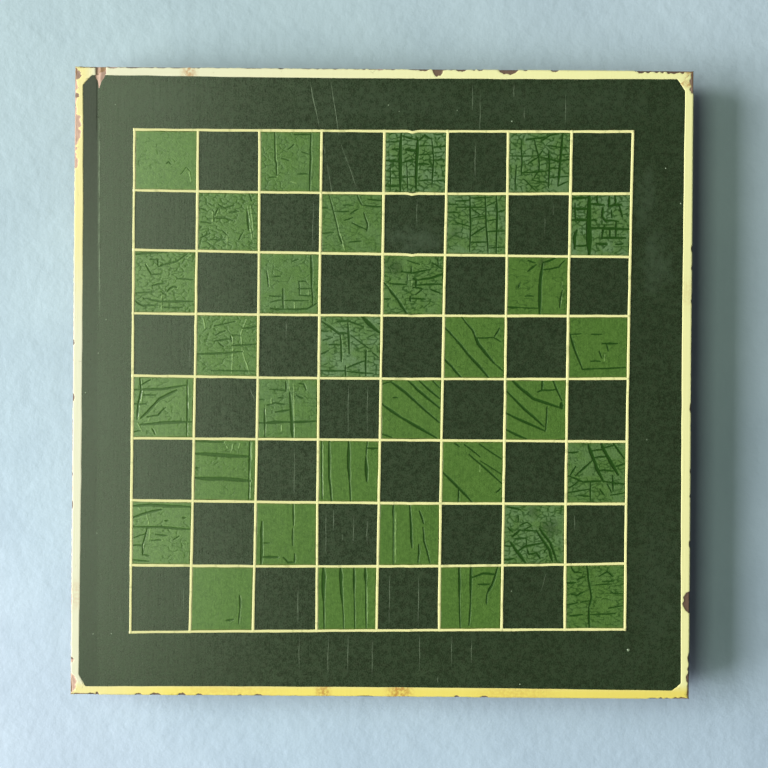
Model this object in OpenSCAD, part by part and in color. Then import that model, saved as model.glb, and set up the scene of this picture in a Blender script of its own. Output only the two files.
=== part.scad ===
// Antique painted checkerboard, lying flat with its playing face up. Millimetres, +Z up, +Y away
// from the player. The origin is the middle of the board, in the plane that the battens rest on.

/* [Board] */
// Width of the board, across the grain
board_w = 406; // [390:1:520]
// Length of the board, along the grain
board_l = 412; // [390:1:520]
// Thickness of the planks
board_t = 16; // [13:0.5:25]
// Rounding of the worn upper edges
arris_r = 0.6; // [0.4:0.1:2.5]
// Width of the narrow left strip at its far end
strip_w_far = 15; // [12:0.5:28]
// Width of the narrow left strip at its near end
strip_w_near = 18; // [12:0.5:28]
// Width of the right plank
right_plank_w = 184; // [120:1:260]
// Length of the splintered gouge at the far end of the strip joint
gouge_l = 12.5; // [4:0.5:25]
// Width of the gouge at the board's edge
gouge_w = 3.4; // [1:0.1:6]
// Depth of the gouge
gouge_depth = 2.5; // [0.5:0.1:6]

/* [Battens] */
// Thickness of a batten
batten_t = 14; // [10:0.5:22]
// Width of a batten
batten_w = 38; // [28:1:60]
// How far each end of a batten stops short of the board's side
batten_setback = 18; // [8:1:60]
// Distance from the board's far or near edge to the middle of its batten
batten_inset = 76; // [40:1:120]
// Bevel along a batten's exposed edges
batten_bevel = 3; // [1:0.5:6]
// Diameter of the blind hole in the upper batten that hangs on a wall peg
peg_hole_d = 6; // [4:0.5:10]
// Depth of the peg hole
peg_hole_depth = 10; // [5:0.5:12]

/* [Fasteners] */
// Number of screws in each batten
screws_per_batten = 4; // [4:2:6]
// Shank diameter of a batten screw
screw_d = 4.2; // [3:0.1:5]
// Head diameter of a batten screw
screw_head_d = 8.2; // [6:0.1:10]
// Length of a batten screw
screw_l = 25; // [20:0.5:26]
// Distance from a batten's end to its first screw
screw_end_inset = 20; // [14:1:50]
// How far the screw heads lie below the batten's face
screw_sink = 0.5; // [0.2:0.1:1]
// Number of dowels in the joint of the wide planks
dowel_count = 4; // [2:1:6]
// Diameter of a dowel
dowel_d = 8; // [6:0.5:9]
// Length of a dowel
dowel_l = 40; // [24:1:60]
// Distance from the board's end to the first dowel
dowel_end_inset = 30; // [15:1:45]
// Number of brads through the narrow strip
brad_count = 4; // [2:1:6]
// Diameter of a brad
brad_d = 2; // [1.4:0.1:2.6]
// Length of a brad
brad_l = 38; // [30:1:50]
// Clearance round a dowel, a screw or a brad
bore_clear = 0.05; // [0.02:0.01:0.2]

/* [Painted field] */
// Width of the yellow border on the face, at the corners
border_w = 5.6; // [3:0.1:10]
// How much wider the border is at the middle of each side
border_swell = 1; // [0:0.1:3]
// Thickness of the yellow border coat
coat_t = 0.3; // [0.2:0.05:0.6]
// Thickness of the dark ground coat
ground_t = 0.2; // [0.1:0.05:0.3]
// Thickness of the green paint
green_t = 0.25; // [0.1:0.05:0.4]
// Thickness of a pinstripe
stripe_t = 0.4; // [0.2:0.05:0.8]
// Width of a pinstripe
stripe_w = 1.8; // [1:0.1:3]
// Share of its width by which the brush makes a pinstripe swell and thin
stripe_swell = 0.08; // [0:0.01:0.2]
// Width of one file of squares
file_w = 40.75; // [34:0.25:42]
// Height of one rank of squares
rank_h = 41; // [34:0.25:42]
// How far the squares are painted left of the board's middle
grid_shift_left = 0.8; // [-3:0.1:3]
// How far the squares are painted beyond the board's middle
grid_shift_far = 1.2; // [-3:0.1:3]
// Times their drawn width that the cracks open to
crack_opening = 1.3; // [0.6:0.05:1.5]
// How far a crack wavers between its drawn points
crack_waver = 0.25; // [0:0.05:0.5]

/* [Hidden] */
$fn = 48;
SQUARES = 8;
// Brush stations along a pinstripe, for each square that it passes
STATIONS = 3;

// Drift of each pinstripe off its ruled place, at its first end, its middle and its last end.
// Files run from the left, and drift to the right from the far end to the near end
FILE_DRIFT = [
    [0.4, 0.4, 0.2], [1.3, 0.5, -1.5], [0.8, 0.9, -1.0], [0.9, 0.1, -0.1], [1.2, 0.1, -1.5],
    [2.0, -0.2, -1.3], [0.7, 0.1, -1.1], [1.7, 0, -0.4], [1.1, -1.0, -1.7]
];
// Ranks run from the near side, and drift away from it from the left end to the right end
RANK_DRIFT = [
    [-1.9, 0.5, 2.4], [1.1, 1.5, 4.6], [2.6, 2.0, 2.6], [2.2, 2.3, 2.4], [2.3, 1.5, 2.7],
    [2.1, 1.9, 2.8], [2.7, 1.1, 0.4], [0.7, -0.1, 1.0], [-0.5, -0.3, 0.6]
];
// Size of each clipped corner of the dark field, across and along, clockwise from the far left one
CORNER_CLIPS = [[5.8, 6.7], [5.2, 7.7], [5.8, 4.8], [4.5, 7.8]];
// Points of the dark field's outline along one of its bowed sides
SIDE_POINTS = 8;

// Chips in the border, clockwise from the left end of the far side, for the far, right, near and
// left side. A chip is where it starts and where it ends, in hundredths of half the side from its
// middle, and how far it reaches over the face and down the side, in mm
BORDER_CHIPS = [
    [
        [-98.5, -93.5, 0.7, 1], [-92.4, -89.7, 4.4, 3], [-89.5, -86, 1.3, 2], [-83.7, -78.9, 1.1, 2],
        [-34.3, -32.3, 1, 1.5], [-2.6, 0, 1.2, 1.5], [10.7, 14.5, 1.6, 2], [15.5, 19.1, 5.4, 5],
        [23, 26.5, 1.8, 2], [30, 32, 1.2, 1.5], [36.8, 43.3, 3.6, 4], [44.9, 46.3, 1, 1.5],
        [53.7, 56.3, 1.6, 2], [82.8, 87.6, 1, 2], [89, 98.5, 1.1, 1.5]
    ],
    [
        [-99.5, -93.5, 1.8, 5], [-44.3, -42.3, 1.2, 1.5], [-37.9, -36.6, 1, 1.5], [-27.2, -26.2, 0.9, 1],
        [5.7, 8.9, 1.2, 2], [26.7, 28.2, 0.8, 1], [34.7, 35.9, 0.9, 1], [49.5, 51.9, 1, 1.5],
        [65.5, 72.6, 5, 5], [91.7, 95, 2.4, 3], [96.8, 99.5, 1.8, 4]
    ],
    [
        [-99, -96.5, 1.2, 2], [-35.1, -32.5, 1.3, 2], [-25.7, -24.1, 1.6, 2], [1.8, 7.6, 0.8, 2],
        [37.7, 40.6, 1.4, 2], [44.5, 45.8, 1.2, 1.5], [57.1, 59.4, 1.4, 2], [62.6, 65.2, 1.9, 2],
        [70.6, 74.2, 1.8, 2], [76.8, 79.1, 1.6, 2], [90.7, 91.8, 2.4, 2.5], [92, 98.3, 0.9, 1.5]
    ],
    [
        [-99.5, -93.2, 4.4, 6], [-89.8, -87.9, 2.4, 3], [-41.1, -37.9, 1.3, 2], [-30.6, -29, 1.1, 1.5],
        [-7, -3.8, 1.6, 2.5], [11.2, 13.1, 1.3, 2], [67.8, 72, 2.2, 4], [74.5, 81.6, 3.4, 6],
        [89.8, 91.6, 3.6, 3], [95.6, 99, 4.6, 8], [67.2, 99.5, 1, 6]
    ]
];
// Ragged outline of a chip: shares of its length, and of its reach over the face (below 0) or down
// the side (above 0)
CHIP_OUTLINE = [
    [0, 0.1], [0.08, -0.45], [0.3, -0.9], [0.42, -0.75], [0.6, -1], [0.85, -0.65], [1, -0.15],
    [0.93, 0.6], [0.7, 0.75], [0.45, 1], [0.2, 0.7]
];

// The open cracks of each green square, drawn by eye. A crack is its width in mm and two or more
// points that it runs through, in tenths of the square from its left side and from its far side
SQUARE_CRACKS = [
    ["a8", [[0.4, [7.4, 7.2], [8.2, 6.1], [8.8, 6.7]], [0.4, [5, 5.6], [5.5, 5.2], [5.9, 5.7]]]],
    ["c8", [
        [0.6, [2.5, 0.2], [2.6, 4.7], [2.8, 5.3], [2.9, 7.3]],
        [0.7, [8.3, 0.4], [8.3, 5], [8.2, 9.7]],
        [0.5, [5.6, 0.6], [8.4, 0.6]], [0.4, [3.6, 4.5], [4.8, 4.8]], [0.4, [6.8, 3.4], [8, 3.8]],
        [0.4, [6.2, 7], [7.8, 6.9]], [0.4, [1.6, 7.6], [2.8, 7.5]], [0.4, [4.6, 3], [5.6, 2.2]]
    ]],
    ["e8", [
        [1.6, [2.7, 0.2], [2.6, 5], [2.7, 9.8]], [1.5, [5.3, 1], [5.2, 5], [5.2, 9.3]],
        [0.6, [3.6, 5], [3.9, 9.6]], [0.6, [1, 5.3], [1.1, 9.6]],
        [0.7, [7.5, 1], [7.9, 4.5], [7.7, 9]],
        [1.1, [0.2, 4.7], [2.6, 4.9]], [0.9, [0.2, 8.8], [2.6, 8.8]], [1, [1.3, 2.9], [2.7, 2.9]],
        [1.3, [3.4, 3], [5.2, 3.1]], [0.9, [2.8, 5.1], [5.2, 4.4]], [0.9, [5.3, 5.2], [7.2, 5.3]],
        [0.7, [5.4, 3.8], [7.8, 3.6]], [0.5, [5.5, 2.4], [7.6, 2.3]],
        [0.8, [5.3, 1.6], [6.4, 0.6], [7.6, 1.3]],
        [0.9, [2.8, 0.7], [5.2, 1.4]], [0.5, [0.3, 1.8], [2.6, 1.7]], [0.5, [0.3, 6.4], [2.6, 6.4]],
        [0.5, [0.5, 7.4], [2.6, 7.5]], [0.6, [2.8, 7.4], [5.2, 7.2]], [0.6, [7.9, 4.6], [9.8, 4.6]],
        [0.5, [7.8, 2.6], [9.8, 2.4]], [0.5, [7.8, 8], [9.8, 7.8]], [0.7, [5.3, 8], [7.8, 7.8]]
    ]],
    ["g8", [
        [0.6, [2.1, 1.2], [2.3, 5], [2.2, 7]], [0.7, [2.2, 6.6], [6.6, 6.3]],
        [0.8, [6.5, 3], [6.6, 5], [6.5, 9.1]],
        [1, [8.6, 0.3], [8.3, 5], [8, 8.8]], [0.5, [0.3, 3.9], [4.8, 3.9]],
        [0.6, [4.1, 1], [4.9, 4], [5, 6.3], [4.2, 7.4]], [0.7, [2.8, 1.4], [4.4, 1.1], [5.9, 0.8]],
        [0.6, [5.2, 1.6], [6.6, 0.6], [8, 0.4]], [0.6, [6.4, 2.3], [9.7, 2.6]],
        [0.7, [5, 4.1], [8, 4.8], [9.7, 4.5]],
        [0.5, [3.2, 5.2], [4.7, 4.2], [5.5, 3]], [0.6, [1.4, 5.4], [1.2, 9.4]],
        [0.5, [2.5, 7.6], [3.6, 8.6], [4.6, 9.6]],
        [0.5, [3.9, 7.8], [6.4, 8.2]], [0.7, [6.6, 7.4], [9.6, 7.2]], [0.5, [8, 8.8], [9.6, 8]],
        [0.5, [8.4, 3.7], [9.7, 3.6]], [0.5, [6.6, 5.8], [8.3, 5.9]]
    ]],
    ["b7", [
        [0.9, [8.4, 0.3], [8.8, 1.5]], [0.9, [8.1, 3.2], [8.4, 6.4]], [0.5, [3.4, 2.8], [2.9, 4]],
        [0.5, [3.4, 2.1], [4.6, 2.7], [6, 2.2]], [0.5, [2.8, 4.4], [4.4, 4.4], [5.8, 4.8]],
        [0.5, [0.2, 2.9], [1.4, 3]],
        [0.5, [0.6, 7.8], [2.2, 7]], [0.4, [0.6, 5.1], [2.4, 5.3]], [0.4, [4, 6.4], [5, 7.4]],
        [0.4, [2.2, 8], [4.6, 8]], [0.4, [6.8, 8], [7.4, 6.8]], [0.4, [5.2, 3.4], [6.8, 3.2]]
    ]],
    ["d7", [
        [0.4, [1.3, 0.3], [2.4, 4.4], [2.9, 6.8]], [0.8, [2.9, 6.8], [3.5, 8.4]],
        [0.6, [5.8, 0.3], [6.6, 2]],
        [0.6, [6.9, 3.2], [7.5, 5], [7.4, 6.2]], [0.6, [5, 4.9], [7.4, 6]],
        [0.4, [3.6, 2], [5.2, 2]],
        [0.4, [2.2, 3], [4.6, 3]], [0.5, [0.2, 2.5], [1.2, 2.5]], [0.5, [4.8, 3.4], [6, 2.6]],
        [0.4, [3.8, 4.5], [5.2, 4]], [0.4, [0.3, 6.7], [2.2, 6.5]], [0.4, [4.6, 8.1], [6.6, 7.9]],
        [0.5, [6.8, 2], [9.7, 2.2]], [0.4, [7.6, 1], [9.7, 1.2]]
    ]],
    ["f7", [
        [0.7, [3.9, 0.4], [4.1, 5], [4, 9.4]], [0.7, [6.4, 0.3], [6.6, 5], [7, 9.7]],
        [0.8, [8.2, 0.3], [8.4, 3.5], [8.3, 9.7]],
        [0.8, [1.6, 1.2], [4, 1]], [0.6, [1.6, 2.2], [6.4, 2.2]], [0.5, [0.2, 1.7], [2, 1.7]],
        [0.5, [0.2, 3], [2.4, 3.1]],
        [0.6, [4.2, 2.4], [5.6, 3.4]], [0.6, [1.6, 4.7], [3.9, 5.3]], [0.7, [4.1, 6.9], [6.5, 5.3]],
        [0.5, [4.1, 4], [6.5, 3.6]], [0.6, [6.8, 6.1], [9.7, 6]], [0.6, [4, 7.9], [6.8, 7.8]],
        [0.5, [4, 0.7], [7.5, 0.6]],
        [0.5, [6.7, 4.4], [8.3, 4.1]], [0.5, [6.6, 2], [8.2, 1.2]], [0.5, [8.3, 3], [9.7, 2.6]],
        [0.5, [7, 8.8], [9.7, 8.6]]
    ]],
    ["h7", [
        [2.2, [3.1, 0.1], [3.1, 5], [3.3, 9.8]], [0.5, [0.8, 1.5], [1, 4.5]],
        [1.2, [1.2, 5.8], [0.8, 7], [0.9, 8.8]],
        [0.8, [0.2, 2.3], [3, 2.4]], [0.9, [0.2, 4.2], [3, 4.2]], [0.7, [0.2, 0.8], [3, 0.6]],
        [0.6, [1, 8.3], [3.1, 8.2]],
        [0.8, [3.3, 1.6], [5.6, 1.8]], [0.9, [5.4, 2.2], [5.3, 3.6], [6, 4.5]],
        [0.5, [3.3, 4.2], [4.4, 4.2]],
        [0.8, [3.4, 5.4], [9.7, 5.6]], [0.7, [5.7, 5], [5.3, 7], [9.2, 7]],
        [0.8, [6.4, 0.3], [6.3, 2.1]],
        [0.5, [4.4, 0.3], [4.5, 1.6]], [0.6, [7.3, 0.3], [7.4, 1.8]], [0.7, [6.2, 2], [8.4, 1.7]],
        [0.6, [8.1, 2], [8.6, 3.6]],
        [0.6, [5.9, 4.2], [8, 4.4]], [0.5, [6.8, 2.6], [6.9, 3.8]], [0.5, [7.6, 4.4], [7.6, 6.9]],
        [0.4, [6.6, 5.6], [6.6, 6.9]],
        [0.9, [4.4, 7.9], [6.2, 8]], [0.5, [7.6, 8], [8.8, 7.9]]
    ]],
    ["a6", [
        [0.8, [0.4, 0.7], [3, 0.4], [5.4, 0.3]], [0.6, [1.9, 2.2], [2.8, 3.7]],
        [0.5, [2.7, 1.4], [3.9, 1.4], [3.9, 2.4]],
        [0.6, [4, 2.6], [5.8, 2], [7.2, 1.6]], [0.5, [7, 1.6], [8.6, 0.4]],
        [0.4, [2.8, 3.8], [4.6, 3.7]],
        [0.7, [3, 5.6], [5, 5.2]], [0.8, [5.4, 6.5], [6.4, 5.7], [7, 5.8]],
        [0.5, [0.4, 6.8], [3.2, 6.6]],
        [0.4, [4.4, 6.5], [5.2, 7]], [0.7, [2.6, 7.8], [4.4, 8.1], [9.6, 8]],
        [0.7, [0.3, 8], [1.6, 8.8], [4, 8.7]],
        [0.4, [1.6, 7.6], [2.8, 7.6]], [0.4, [7, 4.4], [9.6, 4.6]], [0.4, [5, 9], [8, 9]]
    ]],
    ["c6", [
        [1.1, [8.5, 0.2], [8.7, 5.4]], [0.5, [8.7, 5.4], [8.9, 8.4]], [0.6, [1.3, 3], [1.6, 5.5]],
        [0.6, [4, 5.8], [4.1, 9]],
        [0.8, [2, 9], [4.4, 9.1]], [0.6, [4.4, 9.1], [8, 9], [9.6, 8.1]],
        [0.5, [6.6, 4.6], [7.8, 4.6]],
        [0.5, [6.4, 5.8], [8.6, 5.7]], [0.5, [6.6, 6.8], [8.6, 6.9]], [0.4, [6.6, 4.6], [6.7, 6.8]],
        [0.4, [4.2, 7.7], [8.2, 7.7]], [0.4, [2.6, 3.9], [3.6, 3.8]], [0.4, [5.4, 1.5], [6.6, 1]],
        [0.4, [1.8, 7], [3.9, 7]], [0.4, [2, 8], [3.9, 7.6]]
    ]],
    ["e6", [
        [1, [1, 5.5], [2.4, 7.2], [4.1, 9.7]], [0.5, [0.2, 4.6], [1, 5.4]],
        [0.6, [1.2, 4.8], [4, 4.9]],
        [0.6, [3, 2.8], [5, 3], [7.8, 2.4]], [1.1, [4.9, 3.9], [5.5, 4.1], [5.4, 5.4]],
        [0.9, [5.6, 4.2], [8, 3.8], [9.7, 3.1]],
        [0.7, [5.5, 5], [9.7, 4.8]], [0.8, [5, 5.4], [6.6, 5.6]], [0.6, [5.4, 6.6], [6.6, 5.6]],
        [0.9, [4.6, 6.8], [4.6, 7.7]],
        [0.7, [4.6, 7.2], [7, 7.3]], [0.5, [0.2, 7.3], [1.4, 7.3]], [0.7, [8, 1.3], [9.6, 2.3]],
        [0.7, [7.8, 5.7], [9.4, 6.3]],
        [0.5, [8.9, 0.3], [9, 1.9]], [0.5, [4.6, 2], [4.6, 3.2]], [0.4, [4, 3], [4, 4.8]],
        [0.4, [4, 1], [6, 1.6]]
    ]],
    ["g6", [
        [1.3, [5.8, 1.2], [5.4, 5], [5.4, 9.8]], [0.5, [3.4, 0.7], [4.6, 1.1]],
        [0.7, [5.8, 1.1], [7.8, 0.3]],
        [0.7, [3.4, 2.6], [4.8, 1.4]], [0.5, [5.8, 2.3], [8.4, 1.8], [9.3, 0.7]],
        [0.5, [9, 5.6], [8.6, 8.6]],
        [0.8, [0.2, 8.5], [2, 8.6]], [0.4, [2, 8.6], [5.3, 8.7]], [0.5, [2.1, 4.6], [1.9, 5.3]],
        [0.4, [3, 6.7], [4.4, 6.7]]
    ]],
    ["b5", [
        [0.7, [0.2, 6.4], [5, 6.2], [7.6, 5.9]], [0.6, [3, 4.3], [5.8, 3.9]],
        [0.6, [5.6, 3.4], [5.8, 4.3]],
        [0.6, [3.2, 3.4], [4.8, 2.6]], [0.5, [3, 1.9], [6.4, 1.1]], [0.6, [7.4, 2.2], [9.8, 1.9]],
        [0.7, [5.8, 5], [9.8, 4.7]],
        [0.4, [2.6, 9], [9.6, 9]], [0.4, [5.8, 3.3], [7.3, 3.4]], [0.4, [3.6, 4.4], [4.6, 5.2]]
    ]],
    ["d5", [
        [0.9, [0.3, 0.9], [3.2, 2.9], [4.7, 2.9]], [0.5, [5, 3.1], [8, 5.2]],
        [1.8, [6.8, 0.1], [8, 1.3], [9.8, 2.8]],
        [0.7, [2.8, 1], [4.6, 0.9], [7.2, 1.8]], [0.9, [4.6, 1], [4.9, 6.1]],
        [0.8, [3.4, 3.1], [3.6, 5.5], [3.6, 7.4]],
        [0.5, [0.3, 2.5], [1.5, 2.6]], [0.6, [0.6, 4], [2.2, 3.5]], [0.7, [1.6, 4.7], [3.5, 4.7]],
        [0.5, [0.3, 6.2], [1.6, 5.6]],
        [0.8, [0.2, 8.8], [4.4, 8.8]], [0.8, [4.3, 8], [4.4, 9.7]], [0.6, [4.4, 8.4], [7.4, 7.2]],
        [0.9, [7.6, 5.5], [7.6, 9.6]],
        [0.6, [8.6, 5.9], [9.6, 6.7]], [0.6, [4.4, 8.9], [8.8, 9.2]]
    ]],
    ["f5", [
        [0.9, [0.2, 1.9], [1.6, 3.3]], [1.1, [1.6, 3.3], [4, 6.1], [7.3, 9.7]],
        [0.6, [2.9, 0.2], [4.6, 2.2], [5, 3.1]],
        [1.1, [5, 3.1], [5.6, 4.4], [8.3, 7.6]], [0.8, [0.1, 6.7], [1.4, 8], [3, 9.8]],
        [0.5, [5.2, 3.5], [8.2, 3.4]],
        [0.7, [8.1, 3.4], [9, 1.9]], [0.5, [8.2, 3.5], [9.2, 4.1]], [0.4, [8.3, 7.6], [9.6, 8.7]]
    ]],
    ["h5", [
        [0.7, [0.3, 2.7], [1.3, 5.8], [2.5, 8.5]], [0.4, [0.5, 2.9], [2.2, 2.8]],
        [0.4, [3.8, 2.9], [5.6, 2.9]],
        [0.7, [5.6, 4.4], [8.2, 4.4]], [0.5, [6.4, 4.5], [6.7, 5.6]], [0.5, [5.2, 5.6], [5.7, 6.8]],
        [0.8, [2.5, 8.5], [4.4, 8.4]], [0.5, [4.4, 8.4], [9.6, 8.2]], [0.4, [3.8, 7.2], [5.4, 7.2]]
    ]],
    ["a4", [
        [0.8, [0.2, 2.3], [5, 2.1], [8.8, 1.4]], [0.7, [1.2, 0.4], [1.4, 2.4], [1, 4.4], [0.8, 7]],
        [1.1, [1.4, 6.8], [3.4, 4.8], [4.4, 3.7], [7.2, 2.2]], [0.5, [1.8, 3.1], [3.8, 3.1]],
        [0.8, [0.2, 4.5], [2.4, 4.5]],
        [0.5, [2.4, 6.6], [4.2, 6.3], [5.4, 5]], [1, [1.4, 7.8], [5, 7.5], [9.8, 7.3]],
        [0.6, [8.8, 0.6], [8.9, 9.7]],
        [0.5, [1.3, 1.6], [3, 0.6]], [0.4, [3.2, 8.4], [3.8, 9.4]], [0.4, [0.3, 9], [1.4, 8.8]]
    ]],
    ["c4", [
        [1.3, [5.3, 2.4], [5.7, 7], [5.9, 9.8]], [0.8, [4.6, 0.6], [4.7, 2.3]],
        [1.3, [1.2, 7.4], [4.8, 7.2]],
        [0.9, [4.8, 7.2], [9.8, 7]], [0.6, [0.2, 7.4], [1.2, 7.4]],
        [0.5, [1.6, 4.5], [3, 4.1], [4.6, 4.3]],
        [0.7, [3, 5.6], [5.5, 5.2]], [0.7, [1.2, 5], [1.3, 9.7]], [0.5, [2, 1.9], [4.6, 2.1]],
        [0.5, [6.8, 0.9], [7.6, 1], [8, 2]],
        [0.6, [6.4, 2.8], [7.6, 3.3]], [0.4, [0.3, 3.6], [1.2, 3.6]], [0.4, [3.4, 3.3], [4.4, 3.3]]
    ]],
    ["e4", [
        [0.9, [1.6, 0.5], [4, 2.2], [9.6, 7.1]], [0.9, [4.4, 0.3], [6, 1.8], [9.7, 4.8]],
        [0.8, [6.2, 0.3], [9.6, 3.2]],
        [0.5, [8.4, 0.3], [9.6, 1.5]], [1, [0.2, 4.1], [3.4, 6.3], [9.2, 9.6]],
        [0.5, [0.3, 0.9], [1.8, 0.5]],
        [0.5, [0.2, 9], [2, 9.6]], [0.4, [2, 3.1], [2.8, 3.1]]
    ]],
    ["g4", [
        [1.1, [1.2, 0.3], [2.6, 1.6], [4.6, 3.2], [9.2, 4.7]],
        [0.9, [0.2, 1.9], [3.2, 4.9], [6.4, 7.7]],
        [0.9, [0.2, 5.5], [3.4, 7], [6.6, 8.4]], [0.8, [6, 0.2], [5.9, 1.9]],
        [0.6, [5.2, 2.1], [6, 1.8], [8.4, 1.7]],
        [0.8, [7.7, 0.2], [9.2, 3.5]], [0.5, [6.8, 4.4], [6.6, 8.4]],
        [0.9, [0.3, 8.2], [3.6, 9.7]], [1.8, [9.1, 3.8], [9.2, 4.8]]
    ]],
    ["b3", [
        [1.6, [0.1, 2.4], [4, 2.6], [9, 2.8]], [1.4, [0.2, 6.3], [5, 6.4], [9.2, 6.7]],
        [1, [0.3, 0.4], [4.8, 0.5]],
        [0.9, [8.9, 0.4], [8.9, 5.8]], [0.5, [8.9, 5.8], [8.9, 9.7]], [0.4, [0.3, 4.7], [1, 4.7]]
    ]],
    ["d3", [
        [1, [1.8, 0.2], [1.9, 6], [2.3, 9.8]], [1.2, [5, 0.2], [5, 4.5], [5.2, 6.6]],
        [0.7, [5.2, 6.6], [5.4, 9.8]],
        [1.3, [7.8, 2.8], [8, 6.6]], [0.4, [8, 0.3], [7.8, 2.9]], [0.7, [8, 1.3], [9.7, 1.3]],
        [0.5, [0.6, 0.3], [0.8, 9.4]]
    ]],
    ["f3", [
        [0.8, [0.2, 5], [2.8, 7.5], [5, 9.8]], [0.7, [4.4, 2.2], [9.7, 6.8]],
        [0.6, [3.6, 0.6], [6.2, 2.6]],
        [0.4, [6.2, 3.2], [9.6, 5.3]], [0.6, [6, 0.5], [9.6, 2.9]], [0.4, [2, 0.4], [2.9, 1]],
        [0.7, [2.8, 7.6], [2.8, 9.7]],
        [0.5, [9.6, 7.5], [8.8, 8.2]]
    ]],
    ["h3", [
        [1.5, [3.6, 0.5], [4.6, 3], [5, 4.2], [6.3, 6.5]], [1.5, [5.7, 0.2], [6.6, 2], [8.7, 5.4]],
        [0.7, [4.2, 1.5], [6.2, 1.3]],
        [0.6, [4.6, 2.6], [6.9, 2.4]], [0.8, [5.2, 4.6], [7.8, 4.7]], [0.7, [4.4, 3], [1.6, 5.5]],
        [0.8, [1.6, 4], [0.7, 5.4]],
        [0.7, [0.3, 5.5], [2.8, 6.5], [6.4, 6.3]], [0.5, [2.2, 6.3], [0.5, 7.5]],
        [0.8, [7.7, 0.2], [9.6, 2.7]],
        [0.7, [6.4, 6.4], [9.8, 6.8]], [0.7, [7.7, 5.4], [7.8, 8]], [0.5, [6.8, 6.8], [7.6, 8.2]],
        [0.5, [6.2, 1], [7.8, 0.6]],
        [0.5, [4.1, 6.5], [4.1, 9.6]], [0.5, [0.4, 8.2], [4.1, 7.6]], [0.5, [2, 8.6], [4.2, 8.8]],
        [0.5, [7.4, 8.6], [9.7, 8.2]],
        [0.7, [0.3, 1.8], [2, 1.7]], [0.5, [5.6, 7.6], [6.4, 8.6]], [0.5, [8.2, 4], [9.6, 3.5]]
    ]],
    ["a2", [
        [0.9, [0.1, 0.9], [3, 0.7], [9.8, 0.9]], [0.8, [0.2, 2.7], [2, 2.1], [5, 1.4]],
        [0.7, [0.2, 4.1], [5, 4.1], [9.7, 4.4]],
        [0.4, [2.7, 4.1], [2.2, 6], [1.9, 7]], [0.4, [0.5, 5.8], [2.4, 5.2]],
        [0.4, [3.4, 6.2], [5, 6.1]],
        [0.5, [0.2, 7], [1.9, 7], [2, 8.4], [3, 8.6]], [0.4, [4, 5.2], [6, 5.4]],
        [0.4, [8.4, 2.6], [9, 2.6]],
        [0.5, [0.2, 9.2], [3, 9.4]], [0.4, [5.5, 3.1], [6.1, 3.1]], [0.4, [7, 6], [8, 5.4]]
    ]],
    ["c2", [
        [1.2, [1.1, 3], [1.1, 6], [1.1, 9.7]], [0.6, [6.1, 0.2], [6.2, 3.6]],
        [0.5, [6.1, 4], [6.1, 6.8]],
        [0.9, [1.1, 8.6], [3.8, 8.6]], [0.6, [4.6, 8.6], [5.4, 9.4], [6.4, 9.4]],
        [0.6, [6.4, 8], [6.4, 9.5]],
        [0.4, [1.3, 6.4], [2.4, 6.4]]
    ]],
    ["e2", [
        [0.8, [2.4, 0.2], [2.4, 2.4]], [0.4, [2.4, 2.4], [2.5, 9.7]],
        [0.8, [5, 0.2], [5.3, 4], [5.5, 7.1]],
        [0.7, [6.6, 1.2], [7.3, 3.2]], [0.6, [7.2, 3.8], [7.4, 6], [8.4, 9.5]],
        [0.6, [6.6, 6.5], [6.5, 9.4]]
    ]],
    ["g2", [
        [0.9, [0.5, 0.5], [2.8, 1]], [0.9, [1.4, 5.4], [2.8, 4.2]],
        [1.3, [1.2, 6.2], [2, 7.4], [3.7, 9.7]],
        [0.5, [1.9, 5.7], [3.8, 5.6]], [0.7, [0.2, 6.8], [1.5, 6.9]], [0.9, [0.2, 9.1], [1.8, 8.9]],
        [0.7, [2.1, 8], [3.6, 6.9], [6.6, 6.3]], [1, [5.3, 4.3], [7.5, 7.6], [8, 9.5]],
        [1, [5.8, 4], [7.6, 6.4], [8.7, 9.5]],
        [0.5, [3.7, 5.6], [3.8, 6.8]], [0.7, [0.7, 3.8], [1.6, 4.6]],
        [0.4, [2.6, 3.6], [3.8, 3], [4.6, 3.6], [3.4, 4.2]],
        [0.7, [3.9, 7.5], [4.2, 8.2], [5.4, 8]], [1, [5.4, 8], [6, 9]], [0.5, [6.6, 8], [7, 7.4]],
        [0.5, [2.8, 4.3], [5.4, 4.4]], [0.4, [2.4, 1.9], [2.4, 3]]
    ]],
    ["b1", [[0.9, [7.8, 4.5], [7.9, 6.4]], [0.4, [7.9, 6.4], [7.7, 8.8]], [0.7, [5.7, 8.3], [6.9, 8.2]]]],
    ["d1", [
        [1.7, [1.1, 0.2], [1.1, 3], [1.2, 5.4]], [0.6, [1.2, 5.4], [1.3, 9.7]],
        [1.5, [3.9, 0.2], [4, 2.5], [4.3, 5.7]],
        [0.4, [4.3, 5.7], [4.5, 9.7]], [1, [6.1, 0.2], [6.2, 4.2]], [0.4, [6.2, 4.2], [6.4, 9.7]],
        [1, [8, 0.2], [8.1, 2.7]], [0.4, [8.1, 2.7], [8.3, 9.7]]
    ]],
    ["f1", [
        [1.3, [3.1, 0.1], [3.2, 5]], [0.6, [3.2, 5], [3.4, 9.7]], [1.3, [5, 0.1], [5, 5]],
        [0.7, [5, 5], [4.8, 9.3]],
        [0.8, [5, 1.9], [7, 1.2], [9, 1.4]], [0.9, [9.2, 0.3], [8.4, 3], [7.6, 4.4]],
        [0.5, [7.6, 4.4], [7.5, 6]],
        [0.7, [6.2, 2.9], [8, 2.9]]
    ]],
    ["h1", [
        [0.8, [3.6, 0.2], [3.9, 2.4], [4.4, 5], [4, 6.6]], [0.9, [4, 6.6], [4.1, 9.8]],
        [0.7, [1, 0.4], [1.6, 1.2], [2.8, 1.3]],
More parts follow.
